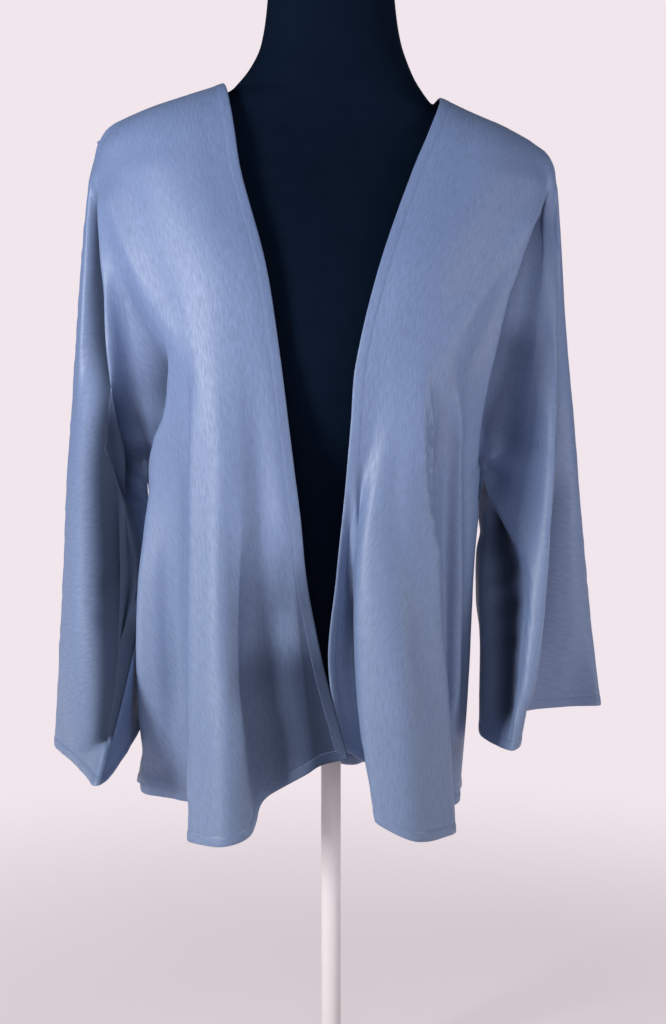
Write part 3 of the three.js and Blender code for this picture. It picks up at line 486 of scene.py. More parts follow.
def cloth_patches():
    """The jacket's patches as rows x columns x 3. The body and sleeve of a panel share the seam column
    down to the underarm, and part below it."""
    front = {"right": lines_of(RIGHT_FRONT), "left": lines_of(LEFT_FRONT)}
    sleeve = {"right": lines_of(RIGHT_SLEEVE), "left": lines_of(LEFT_SLEEVE)}
    back = {"right": lines_of(RIGHT_BACK), "left": lines_of(LEFT_BACK)}
    rows = np.arange(front["right"].shape[0])
    patches = {}
    for side in ("right", "left"):
        f, s, b = front[side], sleeve[side], back[side]
        split = np.where(rows[:, None] <= UNDERARM_ROW, 0.0, smooth(0.0, FORK, UNDERARM_Z - f[:, 9, 2:3]))
        above = (rows <= UNDERARM_ROW)[:, None]
        near, under, far = s[:, 0], s[:, 9], s[:, 8]
        flank, side_line = b[:, 1], f[:, 8]
        seam_front = np.where(above, f[:, 9], under)
        seam_back = np.where(above, b[:, 0], under)
        patches["front_" + side] = through(f, after=mix(near, flank, split))
        patches["sleeve_front_" + side] = through(
            np.concatenate([seam_front[:, None], s[:, 0:5]], axis=1),
            before=mix(side_line, far, split), after=s[:, 5])
        patches["sleeve_back_" + side] = through(
            np.concatenate([seam_back[:, None], s[:, 8:3:-1]], axis=1),
            before=mix(flank, near, split), after=s[:, 3])
        patches["ends_" + side] = mix(far, side_line, split)
    whole = np.concatenate([back["right"], back["left"][:, -2::-1]], axis=1)
    patches["back"] = through(whole, before=patches.pop("ends_right"), after=patches.pop("ends_left"))
    for name in ("back", "sleeve_back_right", "sleeve_back_left"):
        top = patches[name][0]
        top[:, 1] = np.where(np.abs(top[:, 1]) < SEAM_SLACK, 0.0, top[:, 1])
    return {name: clear_of_form(points) for name, points in patches.items()}


# ---- Lie of the cloth ----------------------------------------------------------------------------------
PANELS = {  # each panel's patches, with the table line that their first column is and the way they count
    "front_right": [("front_right", 0, 1), ("sleeve_front_right", 9, 1)],
    "front_left": [("front_left", 0, 1), ("sleeve_front_left", 9, 1)],
    "back": [("back", 0, 1), ("sleeve_back_right", 0, -1), ("sleeve_back_left", 12, 1)],
}
TURNED_OVER = ("front_right", "sleeve_front_right", "sleeve_back_left", "back")


def arcs(points, axis):
    """Length along a patch's rows (axis 1) or lines (axis 0) from their start."""
    steps = np.linalg.norm(np.diff(points, axis=axis), axis=2)
    start = np.zeros_like(steps[:, :1]) if axis == 1 else np.zeros_like(steps[:1])
    return np.concatenate([start, np.cumsum(steps, axis=axis)], axis=axis)


def outward(patches):
    """The outward direction at every point, shared where patches meet."""
    names = list(patches)
    flat = np.concatenate([patches[name].reshape(-1, 3) for name in names])
    _, place = np.unique(np.round(flat, 2), axis=0, return_inverse=True)
    place = place.ravel()
    total = np.zeros((place.max() + 1, 3))
    start = 0
    for name in names:
        p = patches[name]
        a, b, c, d = p[:-1, :-1], p[1:, :-1], p[1:, 1:], p[:-1, 1:]
        n = np.cross(c - a, d - b)
        if name in TURNED_OVER:
            n = -n
        ids = place[start:start + p.shape[0] * p.shape[1]].reshape(p.shape[:2])
        for corner in (ids[:-1, :-1], ids[1:, :-1], ids[1:, 1:], ids[:-1, 1:]):
            np.add.at(total, corner.ravel(), n.reshape(-1, 3))
        start += ids.size
    result = {}
    start = 0
    for name in names:
        p = patches[name]
        count = p.shape[0] * p.shape[1]
        n = total[place[start:start + count]].reshape(p.shape)
        seam = np.abs(p[0, :, 1]) < SEAM_SLACK
        n[0, seam, 1] = 0.0
        result[name] = n / np.maximum(np.linalg.norm(n, axis=2, keepdims=True), 1e-9)
        start += count
    return result


def place_on(patches, panel, column, z):
    """The point of a panel on a table line, or between two, at a height."""
    for name, first, way in PANELS[panel]:
        count = (patches[name].shape[1] - 1) / STEPS
        at = (column - first) * way
        if 0 <= at <= count:
            c = at * STEPS
            low = int(min(c, patches[name].shape[1] - 2))
            line = mix(patches[name][:, low], patches[name][:, low + 1], c - low)
            row = np.interp(z, line[::-1, 2], np.arange(len(line))[::-1])
            r = int(min(row, len(line) - 2))
            return mix(line[r], line[r + 1], row - r)
    raise ValueError(f"{panel} has no line {column}")


def along_path(points, path):
    """Each point's distance from a path of points, and how far along the path it lies from 0 to 1."""
    lengths = np.linalg.norm(np.diff(path, axis=0), axis=1)
    starts = np.concatenate([[0], np.cumsum(lengths)])
    best = np.full(points.shape[:-1], 1e9)
    part = np.zeros(points.shape[:-1])
    for i, length in enumerate(lengths):
        line = path[i + 1] - path[i]
        t = np.clip(((points - path[i]) @ line) / max(length * length, 1e-9), 0, 1)
        gap = np.linalg.norm(points - path[i] - t[..., None] * line, axis=-1)
        nearer = gap < best
        best = np.where(nearer, gap, best)
        part = np.where(nearer, (starts[i] + t * length) / starts[-1], part)
    return best, part


def soft_noise(u, v, seed):
    """Smooth noise from -1 to 1 with cells one unit wide."""
    table = np.random.default_rng(seed).uniform(-1, 1, (256, 256))
    i, j = np.floor(u).astype(int), np.floor(v).astype(int)
    a, b = u - i, v - j
    a, b = a * a * (3 - 2 * a), b * b * (3 - 2 * b)
    low = mix(table[i % 256, j % 256], table[(i + 1) % 256, j % 256], a)
    high = mix(table[i % 256, (j + 1) % 256], table[(i + 1) % 256, (j + 1) % 256], a)
    return mix(low, high, b)


def smooth_path(path):
    """More points along a path, on a smooth curve."""
    points = np.array(path, float)
    if len(points) < 3:
        return points
    at = np.arange(len(points))
    fine = np.linspace(0, len(points) - 1, (len(points) - 1) * 5 + 1)
    return np.stack([look_up(at, points[:, k], fine) for k in (0, 1)], axis=1)


def seam_distance(patches, name):
    """How far each point of a patch is from the nearest seam with another panel."""
    p = patches[name]
    rows = np.arange(p.shape[0])[:, None]
    across = arcs(p, 1)
    down = arcs(p, 0)
    below = rows >= UNDERARM_ROW
    if name.startswith("sleeve"):
        underarm = p[UNDERARM_ROW, 0]
        first = np.where(below, across, np.linalg.norm(p - underarm, axis=2))
        return np.minimum(np.minimum(first, across[:, -1:] - across), down)
    ends = [(p[UNDERARM_ROW, -1], across[:, -1:] - across)]
    if name == "back":
        ends.append((p[UNDERARM_ROW, 0], across))
    nearest = np.where(np.abs(p[:1, :, 1]) < SEAM_SLACK, down, 1e3)
    for underarm, gap in ends:
        nearest = np.minimum(nearest, np.where(below, gap, np.linalg.norm(p - underarm, axis=2)))
    return nearest


FOLD_LINES = 2.4  # a fold reaches at most this many lines to either side
FOLD_EDGE = 1.8  # how sharp the edge of a turned-under fold is, in millimetres
SEAM_CALM = 8.0  # folds die away over this many millimetres from a seam
GROOVE = {"depth": 0.55, "reach": 2.4}
PUCKER = {"size": 0.42, "reach": 15.0, "pitch": 7.5}
CRINKLE = {"size": 0.09, "across": 5.5, "along": 38.0}
DRIFT = {"size": 0.65, "across": 34.0, "along": 110.0}
WANDER = {"size": 0.7, "across": 30, "along": 60}  # how the crinkle's ridges stray from straight
LEVEL_SPREAD = 1.7  # the sleeve's level crinkle is this much coarser
HEM_RIPPLE = {"size": 0.35, "more": 1.0, "pitch": 11, "along": 60, "reach": 16}
DEEPEST_PAINTED_SHADE = 24  # painted shade in a hollow stops darkening past this depth
GRAIN = {"top": 860, "over": 260, "part": 0.55}  # where the crinkle turns round the sleeve


def softened(field, times):
    """A grid of heights with its corners taken off."""
    for axis in (0, 1) * times:
        wide = np.pad(field, [(1, 1) if k == axis else (0, 0) for k in (0, 1)], "edge")
        low, high = (wide[:-2], wide[2:]) if axis == 0 else (wide[:, :-2], wide[:, 2:])
        field = field / 2 + (low + high) / 4
    return field


def fold_height(patches, panel, crease, points, columns):
    """How far one fold lifts each point."""
    path = smooth_path(crease["path"])
    low, high = path[:, 0].min() - FOLD_LINES, path[:, 0].max() + FOLD_LINES
    if columns.max() < low or columns.min() > high:
        return 0.0
    route = np.array([place_on(patches, panel, *at) for at in path])
    gap, part = along_path(points, route)
    start, end = crease.get("start", 0.25), crease.get("end", 0.25)
    ends = smooth(0, max(start, 1e-3), part + (start == 0)) * smooth(0, max(end, 1e-3), 1 - part + (end == 0))
    shape = crease["rise"] * np.exp(-np.power(gap / crease["width"], crease.get("power", 1.7)))
    if "drop" in crease:
        on_line = np.interp(part, np.linspace(0, 1, len(path)), path[:, 0])
        turned = (columns - on_line) * crease["over"] > 0
        close = np.exp(-np.square(gap / crease.get("edge", FOLD_EDGE)))
        under = crease["rise"] * close - crease["drop"] * (1 - close) * np.exp(-gap / crease["under"])
        shape = np.where(turned, under, shape)
    inside = (columns >= low) & (columns <= high)
    return np.where(inside, ends * shape, 0.0)


def lie_of(patches, panel, name, first, way):
    """How far each point of a patch stands off its smooth shape, and how deep it lies in a hollow, for
    painted shade.
    """
    p = patches[name]
    columns = first + way * np.arange(p.shape[1])[None, :] / STEPS
    total = np.zeros(p.shape[:2])
    depth = np.zeros(p.shape[:2])
    for crease in FOLDS[panel].values():
        height = fold_height(patches, panel, crease, p, columns)
        total += height
        # painted shade: each fold's hollow, times its "shade", sets how dark the crepe is coloured there
        depth -= height * crease.get("shade", 1.0)
    total = softened(total, 2)
    depth = softened(depth, 2)
    across, down = arcs(p, 1), arcs(p, 0)
    if name != panel:
        body = arcs(patches[panel], 1)
        across = body[:, :1] - across if way < 0 else body[:, -1:] + across
    seed = sum(ord(letter) for letter in panel)
    turn = grain_of(p, name)
    wander = soft_noise(across / WANDER["across"], down / WANDER["along"], seed + 5)
    stray = WANDER["size"] * wander
    upright = soft_noise(across / CRINKLE["across"] + stray, down / CRINKLE["along"], seed)
    coarse = CRINKLE["across"] * LEVEL_SPREAD
    level = soft_noise(across / CRINKLE["along"], down / coarse + stray, seed + 1)
    total += CRINKLE["size"] * mix(upright, level, turn)
    total += DRIFT["size"] * soft_noise(across / DRIFT["across"] + 3, down / DRIFT["along"], seed + 2)
    seam = seam_distance(patches, name)
    total *= smooth(0, SEAM_CALM, seam)
    ripple = soft_noise(down / PUCKER["pitch"], seam / 30, seed + 3)
    total += PUCKER["size"] * ripple * smooth(0, 3, seam) * (1 - smooth(3, PUCKER["reach"], seam))
    total -= GROOVE["depth"] * (1 - smooth(0, GROOVE["reach"], seam))
    hem = down[-1:] - down
    hem_ripple = soft_noise(across / HEM_RIPPLE["pitch"], hem / HEM_RIPPLE["along"], seed + 4)
    total += hem_size(name, columns) * hem_ripple * np.exp(-hem / HEM_RIPPLE["reach"])
    return total, np.clip(depth, 0, DEEPEST_PAINTED_SHADE)


def hem_size(name, columns):
    """How strongly the hem is puckered along it."""
    size = np.full(columns.shape, HEM_RIPPLE["size"])
    if name == "front_right":
        size = size + HEM_RIPPLE["more"] * smooth(5.6, 6.6, columns) * (1 - smooth(8.6, 9.0, columns))
    return size


def grain_of(p, name):
    """0 where the crinkle runs down the cloth, 1 where it runs round the sleeve."""
    if not name.startswith("sleeve"):
        return np.zeros(p.shape[:2])
    part = np.linspace(0, 1, p.shape[1])[None, :]
    low = smooth(0, GRAIN["over"], GRAIN["top"] - p[..., 2])
    return smooth(0.0, GRAIN["part"], part * np.ones_like(low)) * low


# ---- Meshes --------------------------------------------------------------------------------------------
def new_mesh(name, points, faces, material, uvs=None, values=None, flat_over=50):
    """A smooth-shaded object from points in millimetres, with a UV map in metres of cloth."""
    points = np.asarray(points, float) * MM
    points[:, 2] += BASE_THICK * MM
    mesh = bpy.data.meshes.new(name)
    mesh.from_pydata(points.tolist(), [], faces)
    mesh.materials.append(material)
    mesh.polygons.foreach_set("use_smooth", [True] * len(mesh.polygons))
    if uvs is not None:
        corners = np.empty(len(mesh.loops), int)
        mesh.loops.foreach_get("vertex_index", corners)
        layer = mesh.uv_layers.new(name="UVMap")
        layer.data.foreach_set("uv", (np.asarray(uvs, float) * MM)[corners].ravel())
    for key, column in (values or {}).items():
        layer = mesh.attributes.new(key, "FLOAT", "POINT")
        layer.data.foreach_set("value", np.asarray(column, float))
    mesh.set_sharp_from_angle(angle=math.radians(flat_over))
    mesh.validate()
    piece = bpy.data.objects.new(name, mesh)
    bpy.context.scene.collection.objects.link(piece)
    return piece


def quads_of(ids, flip):
    """Faces of a grid of point numbers."""
    a, b, c, d = ids[:-1, :-1], ids[1:, :-1], ids[1:, 1:], ids[:-1, 1:]
    order = (d, c, b, a) if flip else (a, b, c, d)
    return np.stack(order, axis=-1).reshape(-1, 4)


def shell(points, normals, faces):
    """A closed wall CLOTH thick round a sheet."""
    count = len(points)
    solid = np.vstack([points + normals * CLOTH / 2, points - normals * CLOTH / 2])
    walls = [faces, faces[:, ::-1] + count]
    a = faces.ravel()
    b = np.roll(faces, -1, axis=1).ravel()
    key, back = a.astype(np.int64) * count + b, b.astype(np.int64) * count + a
    free = ~np.isin(key, back)
    walls.append(np.stack([b[free], a[free], a[free] + count, b[free] + count], axis=1))
    return solid, np.vstack(walls)


def panel_parts(patches, directions, panel):
    """One sheet from a panel's patches: its points, directions, faces, cloth coordinates, grain and
    painted-shade depth.
    """
    points, normals, uvs, grains, depths, faces = [], [], [], [], [], []
    seams = {}
    total = 0
    for name, first, way in PANELS[panel]:
        p, n = patches[name], directions[name]
        ids = np.arange(total, total + p.shape[0] * p.shape[1]).reshape(p.shape[:2])
        across, down = arcs(p, 1), arcs(p, 0)
        if first == 0 and way > 0:
            seams[0], seams[(p.shape[1] - 1) // STEPS] = ids[:, 0], ids[:, -1]
            sides = {0: across[:, 0], (p.shape[1] - 1) // STEPS: across[:, -1]}
        else:
            ids[:UNDERARM_ROW + 1, 0] = seams[first][:UNDERARM_ROW + 1]
            across = sides[first][:, None] + way * across
        points.append(p.reshape(-1, 3))
        normals.append(n.reshape(-1, 3))
        uvs.append(np.stack([across, -down], axis=-1).reshape(-1, 2))
        grains.append(grain_of(p, name).ravel())
        depths.append(patches[name + "_depth"].ravel())
        faces.append(quads_of(ids, name in TURNED_OVER))
        total += p.shape[0] * p.shape[1]
    faces = np.vstack(faces)
    used, place = np.unique(faces, return_inverse=True)
    pick = [np.concatenate(column)[used] for column in (points, normals, uvs, grains, depths)]
    return (*pick, place.reshape(faces.shape))


def add_panel(patches, directions, panel, material):
    points, normals, uvs, grains, depths, faces = panel_parts(patches, directions, panel)
    solid, walls = shell(points, normals, faces)
    # the "depth" attribute carries the painted shade of the fold hollows
    return new_mesh("crepe_" + panel, solid, walls.tolist(), material,
                    np.vstack([uvs, uvs]), {"grain": np.tile(grains, 2), "depth": np.tile(depths, 2)})


# A turned edge in section: distance in from the fold, and height over the middle of the cloth. It runs from
# the stitches over the outside, round the fold and back over the inside.
TURNED_SECTION = [
    (8.6, 0.25), (8.0, 0.52), (7.2, 0.80), (5.5, 0.98), (3.5, 1.02), (1.5, 1.0), (0.2, 0.9), (-0.6, 0.5),
    (-0.85, 0.0), (-0.6, -0.5), (0.2, -0.95), (1.5, -1.15), (3.5, -1.2), (5.5, -1.2), (7.2, -1.15),
    (8.3, -1.05), (8.9, -0.85), (8.9, -0.25),
]


def edge_strip(points, normals, depths):
    """Places and directions at set distances in from a free edge. Each row of points starts at the edge."""
    lengths = arcs(points, 1)
    places = np.empty((len(points), len(depths), 3))
    ups = np.empty_like(places)
    for i, length in enumerate(lengths):
        for k in range(3):
            places[i, :, k] = np.interp(depths, length, points[i, :, k])
            ups[i, :, k] = np.interp(depths, length, normals[i, :, k])
    out = points[:, 0] - points[:, 1]
    out /= np.linalg.norm(out, axis=1, keepdims=True)
    beyond = np.maximum(-np.asarray(depths), 0)
    return places + out[:, None] * beyond[None, :, None], ups


def volume(points, faces):
    """Six times the volume inside a closed surface, below nothing if its faces are turned inwards."""
    total = 0.0
    for face in faces:
        a = points[face[0]]
        for i in range(1, len(face) - 1):
            total += float(a @ np.cross(points[face[i]], points[face[i + 1]]))
    return total


def add_turned_edge(name, points, normals, hollow, material):
    """The fold and turn of a free edge, as a closed strip that takes in both faces of the cloth."""
    depths = [depth for depth, _ in TURNED_SECTION]
    places, ups = edge_strip(points, normals, depths)
    heights = np.array([height for _, height in TURNED_SECTION])
    ring = places + ups * heights[None, :, None]
    count, sides = ring.shape[:2]
    ids = np.arange(count * sides).reshape(count, sides)
    closed = np.concatenate([ids, ids[:, :1]], axis=1)
    faces = quads_of(closed, False).tolist() + [ids[0].tolist(), ids[-1][::-1].tolist()]
    if volume(ring.reshape(-1, 3), faces) < 0:
        faces = [face[::-1] for face in faces]
    lengths = np.concatenate([[0], np.cumsum(np.linalg.norm(np.diff(points[:, 0], axis=0), axis=1))])
    uvs = np.stack(np.broadcast_arrays(lengths[:, None], -np.array(depths)[None, :]), axis=-1).reshape(-1, 2)
    # painted shade: the turned edge takes the hollow depth where it ends, which darkens its colour
    values = {"grain": np.ones(count * sides), "depth": np.repeat(hollow, sides)}
    return new_mesh(name, ring.reshape(-1, 3), faces, material, uvs, values)


EDGE_SPAN = 24  # grid points in from a free edge, more than its turn needs


def free_edges(patches, directions):
    """The free edges by name, as rows of points, of directions and of painted-shade depths that start at the
    edge.
    """
    depths = {name: patches[name + "_depth"] for name in directions}
    grids = (patches, directions, depths)

    def lowest(key):
        return tuple(grid[key][::-1][:EDGE_SPAN].swapaxes(0, 1) for grid in grids)

    edges = {"hem_back": lowest("back")}
    for side in ("right", "left"):
        key = "front_" + side
        edges["front_band_" + side] = tuple(grid[key][:, :EDGE_SPAN] for grid in grids)
        edges["hem_front_" + side] = lowest(key)
        for half in ("front", "back"):
            edges[f"cuff_{half}_{side}"] = lowest(f"sleeve_{half}_{side}")
    neck = slice(4 * STEPS, 8 * STEPS + 1)
    edges["neck_edge_back"] = tuple(grid["back"][:EDGE_SPAN, neck].swapaxes(0, 1) for grid in grids)
    return edges


# ---- Stitches ------------------------------------------------------------------------------------------
STITCH = {"Pitch": STITCH_PITCH, "Length": 2.0, "Radius": 0.2}  # in millimetres
THREAD_TAPER = -2.6  # how soon a stitch thins towards its ends
THREAD_SIZES = (0.85, 1.1)
THREAD_SEED = 11


def stitch_tree(thread):
    """Short threads along each line of the mesh that it is given, and the sizes of its inputs."""
    tree = bpy.data.node_groups.new("row_of_stitches", "GeometryNodeTree")
    face = tree.interface
    face.new_socket(name="Geometry", in_out="INPUT", socket_type="NodeSocketGeometry")
    sizes = {}
    for name, size in STITCH.items():
        socket = face.new_socket(name=name, in_out="INPUT", socket_type="NodeSocketFloat")
        sizes[socket.identifier] = size * MM
    face.new_socket(name="Geometry", in_out="OUTPUT", socket_type="NodeSocketGeometry")
    given = tree.nodes.new("NodeGroupInput").outputs

    def add(kind, setting=None, **inputs):
        """A node with its inputs set by name or number, to constants or to other nodes' outputs."""
        node = tree.nodes.new(kind)
        for key, value in (setting or {}).items():
            setattr(node, key, value)
        for key, value in inputs.items():
            socket = node.inputs[int(key[1:]) if key[1:].isdigit() else key.replace("_", " ")]
            if isinstance(value, bpy.types.NodeSocket):
                tree.links.new(value, socket)
            else:
                socket.default_value = value
        return node.outputs

    line = add("GeometryNodeMeshToCurve", Mesh=given["Geometry"])["Curve"]
    places = add("GeometryNodeCurveToPoints", {"mode": "LENGTH"}, Curve=line, Length=given["Pitch"])
    rod = add("GeometryNodeMeshCylinder", Vertices=6, Side_Segments=4, Depth=given["Length"],
              Radius=given["Radius"])["Mesh"]
    where = add("GeometryNodeInputPosition")["Position"]
    up = add("ShaderNodeSeparateXYZ", Vector=where)["Z"]
    part = add("ShaderNodeMath", {"operation": "DIVIDE"}, i0=up, i1=given["Length"])[0]
    square = add("ShaderNodeMath", {"operation": "POWER"}, i0=part, i1=2.0)[0]
    thin = add("ShaderNodeMath", {"operation": "MULTIPLY_ADD"}, i0=square, i1=THREAD_TAPER, i2=1.0)[0]
    narrow = add("ShaderNodeCombineXYZ", X=thin, Y=thin, Z=1.0)["Vector"]
    shaped = add("ShaderNodeVectorMath", {"operation": "MULTIPLY"}, i0=where, i1=narrow)["Vector"]
    bow = add("GeometryNodeSetPosition", Geometry=rod, Position=shaped)["Geometry"]
    wobble = add("FunctionNodeRandomValue", {"data_type": "FLOAT"}, Seed=THREAD_SEED)
    for key, value in zip(("Min", "Max"), THREAD_SIZES):
        wobble[1].node.inputs[key].default_value = value
    stand = add("GeometryNodeInstanceOnPoints", Points=places["Points"], Instance=bow,
                Rotation=places["Rotation"], Scale=wobble[1])["Instances"]
    whole = add("GeometryNodeRealizeInstances", Geometry=stand)["Geometry"]
    finish = add("GeometryNodeSetMaterial", Geometry=whole, Material=thread)["Geometry"]
    tree.links.new(finish, tree.nodes.new("NodeGroupOutput").inputs["Geometry"])
    return tree, sizes


def add_stitches(name, lines, thread):
    """Rows of stitches along lines of points, as one plain mesh."""
    points, edges = [], []
    for line in lines:
        start = len(points)
        points += [(x * MM, y * MM, (z + BASE_THICK) * MM) for x, y, z in line]
        edges += [(start + i, start + i + 1) for i in range(len(line) - 1)]
    guide = bpy.data.meshes.new(name + "_guide")
    guide.from_pydata(points, edges, [])
    carrier = bpy.data.objects.new(name + "_guide", guide)
    bpy.context.scene.collection.objects.link(carrier)
    tree, settings = stitch_tree(thread)
    modifier = carrier.modifiers.new("stitches", "NODES")
    modifier.node_group = tree
    for key, value in settings.items():
        modifier[key] = value
    seen = carrier.evaluated_get(bpy.context.evaluated_depsgraph_get())
    mesh = bpy.data.meshes.new_from_object(seen)
    mesh.name = name
    bpy.data.objects.remove(carrier)
    bpy.data.meshes.remove(guide)
    bpy.data.node_groups.remove(tree)
    piece = bpy.data.objects.new(name, mesh)
    bpy.context.scene.collection.objects.link(piece)
    return piece


def stitch_lines(points, normals):
    """The stitches' path on the outside and on the inside of a turned edge."""
    places, ups = edge_strip(points, normals, [HEM_DEPTH, HEM_DEPTH])
    return [places[:, 0] + ups[:, 0] * 0.62, places[:, 1] - ups[:, 1] * 1.2]


# ---- Dress form and stand ------------------------------------------------------------------------------
FORM_SIDES = 128
FORM_RUNS = [(FORM_BOTTOM, 352, 5), (356, 780, 72), (784, 912, 66), (916, 988, 16), (991, FORM_TOP, 8)]
FORM_ROUNDING = (30.0, 4.0)  # how far in the rings of its flat ends lie


def form_ring(z, shrink=0.0):
    turn = np.arange(FORM_SIDES) / FORM_SIDES * 2 * math.pi
    power = 2 / FORM_SQUARENESS
    half = float(form_size("half_width", z)) - shrink
    depth = np.where(np.sin(turn) < 0, form_size("front", z), form_size("back", z)) - shrink
    x = half * np.sign(np.cos(turn)) * np.abs(np.cos(turn)) ** power
    y = depth * np.sign(np.sin(turn)) * np.abs(np.sin(turn)) ** power
    return np.stack([x, y, z - droop(x, np.full(FORM_SIDES, float(z)))], axis=1)


def add_form(material):
    """The dress form as one closed surface with a flat neck and a flat underside."""
    heights = np.concatenate([np.linspace(*run) for run in FORM_RUNS])
    rings = [form_ring(FORM_BOTTOM, inset) for inset in FORM_ROUNDING]
    rings += [form_ring(z) for z in heights]
    rings += [form_ring(FORM_TOP, inset) for inset in reversed(FORM_ROUNDING)]
    points = np.vstack(rings + [[[0, 0, FORM_BOTTOM], [0, 0, FORM_TOP]]])
    ids = np.arange(len(rings) * FORM_SIDES).reshape(len(rings), FORM_SIDES)
    closed = np.concatenate([ids, ids[:, :1]], axis=1)
    faces = quads_of(closed, True).tolist()
    bottom, top = len(points) - 2, len(points) - 1
    for i in range(FORM_SIDES):
        faces.append([bottom, int(closed[0, i + 1]), int(closed[0, i])])
        faces.append([top, int(closed[-1, i]), int(closed[-1, i + 1])])
    return new_mesh("dress_form", points, faces, material, flat_over=55)


# ---- Materials -----------------------------------------------------------------------------------------
class Shader:
    """A material's node tree, made one node at a time."""

    def __init__(self, name):
        self.material = bpy.data.materials.new(name)
        self.material.use_nodes = True
        self.tree = self.material.node_tree
        self.surface = self.tree.nodes["Principled BSDF"]

    def add(self, kind, settings=None, **inputs):
        node = self.tree.nodes.new(kind)
        for key, value in (settings or {}).items():
            setattr(node, key, value)
        for key, value in inputs.items():
            self.put(node, key, value)
        return node

    def put(self, node, key, value):
        """Sets an input by name or number, to a constant or to another node's first output."""
        socket = node.inputs[int(key[1:]) if key[1:].isdigit() else key.replace("_", " ")]
        if isinstance(value, bpy.types.NodeSocket):
            self.tree.links.new(value, socket)
        elif isinstance(value, bpy.types.Node):
            self.tree.links.new(value.outputs[0], socket)
        else:
            socket.default_value = value

    def maths(self, operation, first, second=0.0):
        return self.add("ShaderNodeMath", {"operation": operation}, i0=first, i1=second)

    def blend(self, kind, part, first, second):
        node = self.add("ShaderNodeMix", {"data_type": kind})
        spots = {"FLOAT": (2, 3, 0), "RGBA": (6, 7, 2)}[kind]
        self.put(node, "i0", part)
        self.put(node, f"i{spots[0]}", first)
        self.put(node, f"i{spots[1]}", second)
        return node.outputs[spots[2]]

    def noise(self, at, scale, detail=2.0, roughness=0.5):
        node = self.add("ShaderNodeTexNoise", Scale=scale, Detail=detail, Roughness=roughness)
        self.tree.links.new(at.outputs[0] if isinstance(at, bpy.types.Node) else at, node.inputs["Vector"])
        return node.outputs["Fac"]

    def stretched(self, at, size):
        return self.add("ShaderNodeMapping", Scale=size, Vector=at)

    def ranged(self, value, low, high, first, last, settings=None):
        """A value from low to high, turned into one from first to last."""
        node = self.add("ShaderNodeMapRange", settings, i0=value, i1=low, i2=high, i3=first, i4=last)
        return node.outputs[0]

    def place(self):
        return self.add("ShaderNodeTexCoord").outputs["Object"]

    def finish(self, **inputs):
        """Sets the surface's inputs and gives the material."""
        for key, value in inputs.items():
            self.put(self.surface, key, value)
        return self.material


def crinkle_height(shader, uv):
    """The crepe's fine crinkle: short ridges down the cloth, turned round the sleeve by the grain."""
    grain = shader.add("ShaderNodeAttribute", {"attribute_name": "grain"}).outputs["Fac"]
    bend = shader.noise(shader.stretched(uv, (40.0, 18.0, 1.0)), 1.0)
    shift = shader.add("ShaderNodeCombineXYZ", X=shader.maths("MULTIPLY", bend, 0.004).outputs[0],
                       Y=shader.maths("MULTIPLY", bend, 0.003).outputs[0])
    moved = shader.add("ShaderNodeVectorMath", {"operation": "ADD"}, i0=uv, i1=shift).outputs[0]
    heights = []
    for size in ((620.0, 105.0, 1.0), (105.0, 620.0, 1.0)):
        heights.append(shader.noise(shader.stretched(moved, size), 1.0, 2.0, 0.55))
    return shader.blend("FLOAT", grain, heights[0], heights[1])


LOW_TINT_PAINTED_LIGHT = (0.143, 0.200, 0.330)  # painted light: the crepe towards the hem, a little greyer, as if a cool light from above fell on the upper part
PAINTED_FOLD_SHADE = (0.008, 0.019, 0.050, 1.0)  # painted shade: the colour the crepe darkens towards deep in a fold


def crepe_material(name, base, shade, bump):
    shader = Shader(name)
    uv = shader.add("ShaderNodeUVMap", {"uv_map": "UVMap"}).outputs["UV"]
    crinkle = crinkle_height(shader, uv)
    cloud = shader.noise(shader.stretched(uv, (14.0, 5.0, 1.0)), 1.0, 3.0)
    weave = shader.noise(shader.stretched(uv, (2600.0, 1700.0, 1.0)), 1.0, 1.0)
    even = shader.blend("RGBA", cloud, (*base, 1.0), (*shade, 1.0))
    # painted light: greyer towards the hem and bluer higher up, as if a cool light from above fell on the
    # upper part
    up = shader.add("ShaderNodeSeparateXYZ", Vector=shader.place()).outputs["Z"]
    low = shader.blend("RGBA", shader.ranged(up, 0.30, 0.70, 0.85, 0.0), even, (*LOW_TINT_PAINTED_LIGHT, 1.0))
    # painted shade: deep in a fold's hollow the colour darkens towards the painted fold-shade colour, by the
    # "depth" attribute
    depth = shader.add("ShaderNodeAttribute", {"attribute_name": "depth"}).outputs["Fac"]
    hollow = shader.ranged(depth, 1.0, 20.0, 0.0, 1.0, {"interpolation_type": "SMOOTHSTEP"})
    # painted shade and highlight: the colour is darker in the crinkle's troughs and lighter on its crests
    crinkle_painted_shade = shader.add("ShaderNodeVectorMath", {"operation": "SCALE"}, i0=low,
                     Scale=shader.ranged(crinkle, 0.3, 0.7, 0.87, 1.10))
    rough = shader.ranged(crinkle, 0.3, 0.7, 0.55, 0.45)
    dull = shader.ranged(depth, 2.0, 14.0, 0.0, 0.42)
    height = shader.maths("ADD", crinkle, shader.maths("MULTIPLY", weave, 0.12).outputs[0])
    # base colour: the painted fold shade over the crinkle's painted shade and highlight, over the painted
    # light tint
    return shader.finish(
        Base_Color=shader.blend("RGBA", hollow, crinkle_painted_shade.outputs[0], PAINTED_FOLD_SHADE),
        Roughness=shader.maths("ADD", rough, dull),
        Normal=shader.add("ShaderNodeBump", Strength=bump, Distance=0.00036, Height=height),
        Sheen_Weight=0.08,
        Sheen_Roughness=0.38,
        Sheen_Tint=(0.78, 0.84, 1.0, 1.0),
        Specular_IOR_Level=0.55,
    )


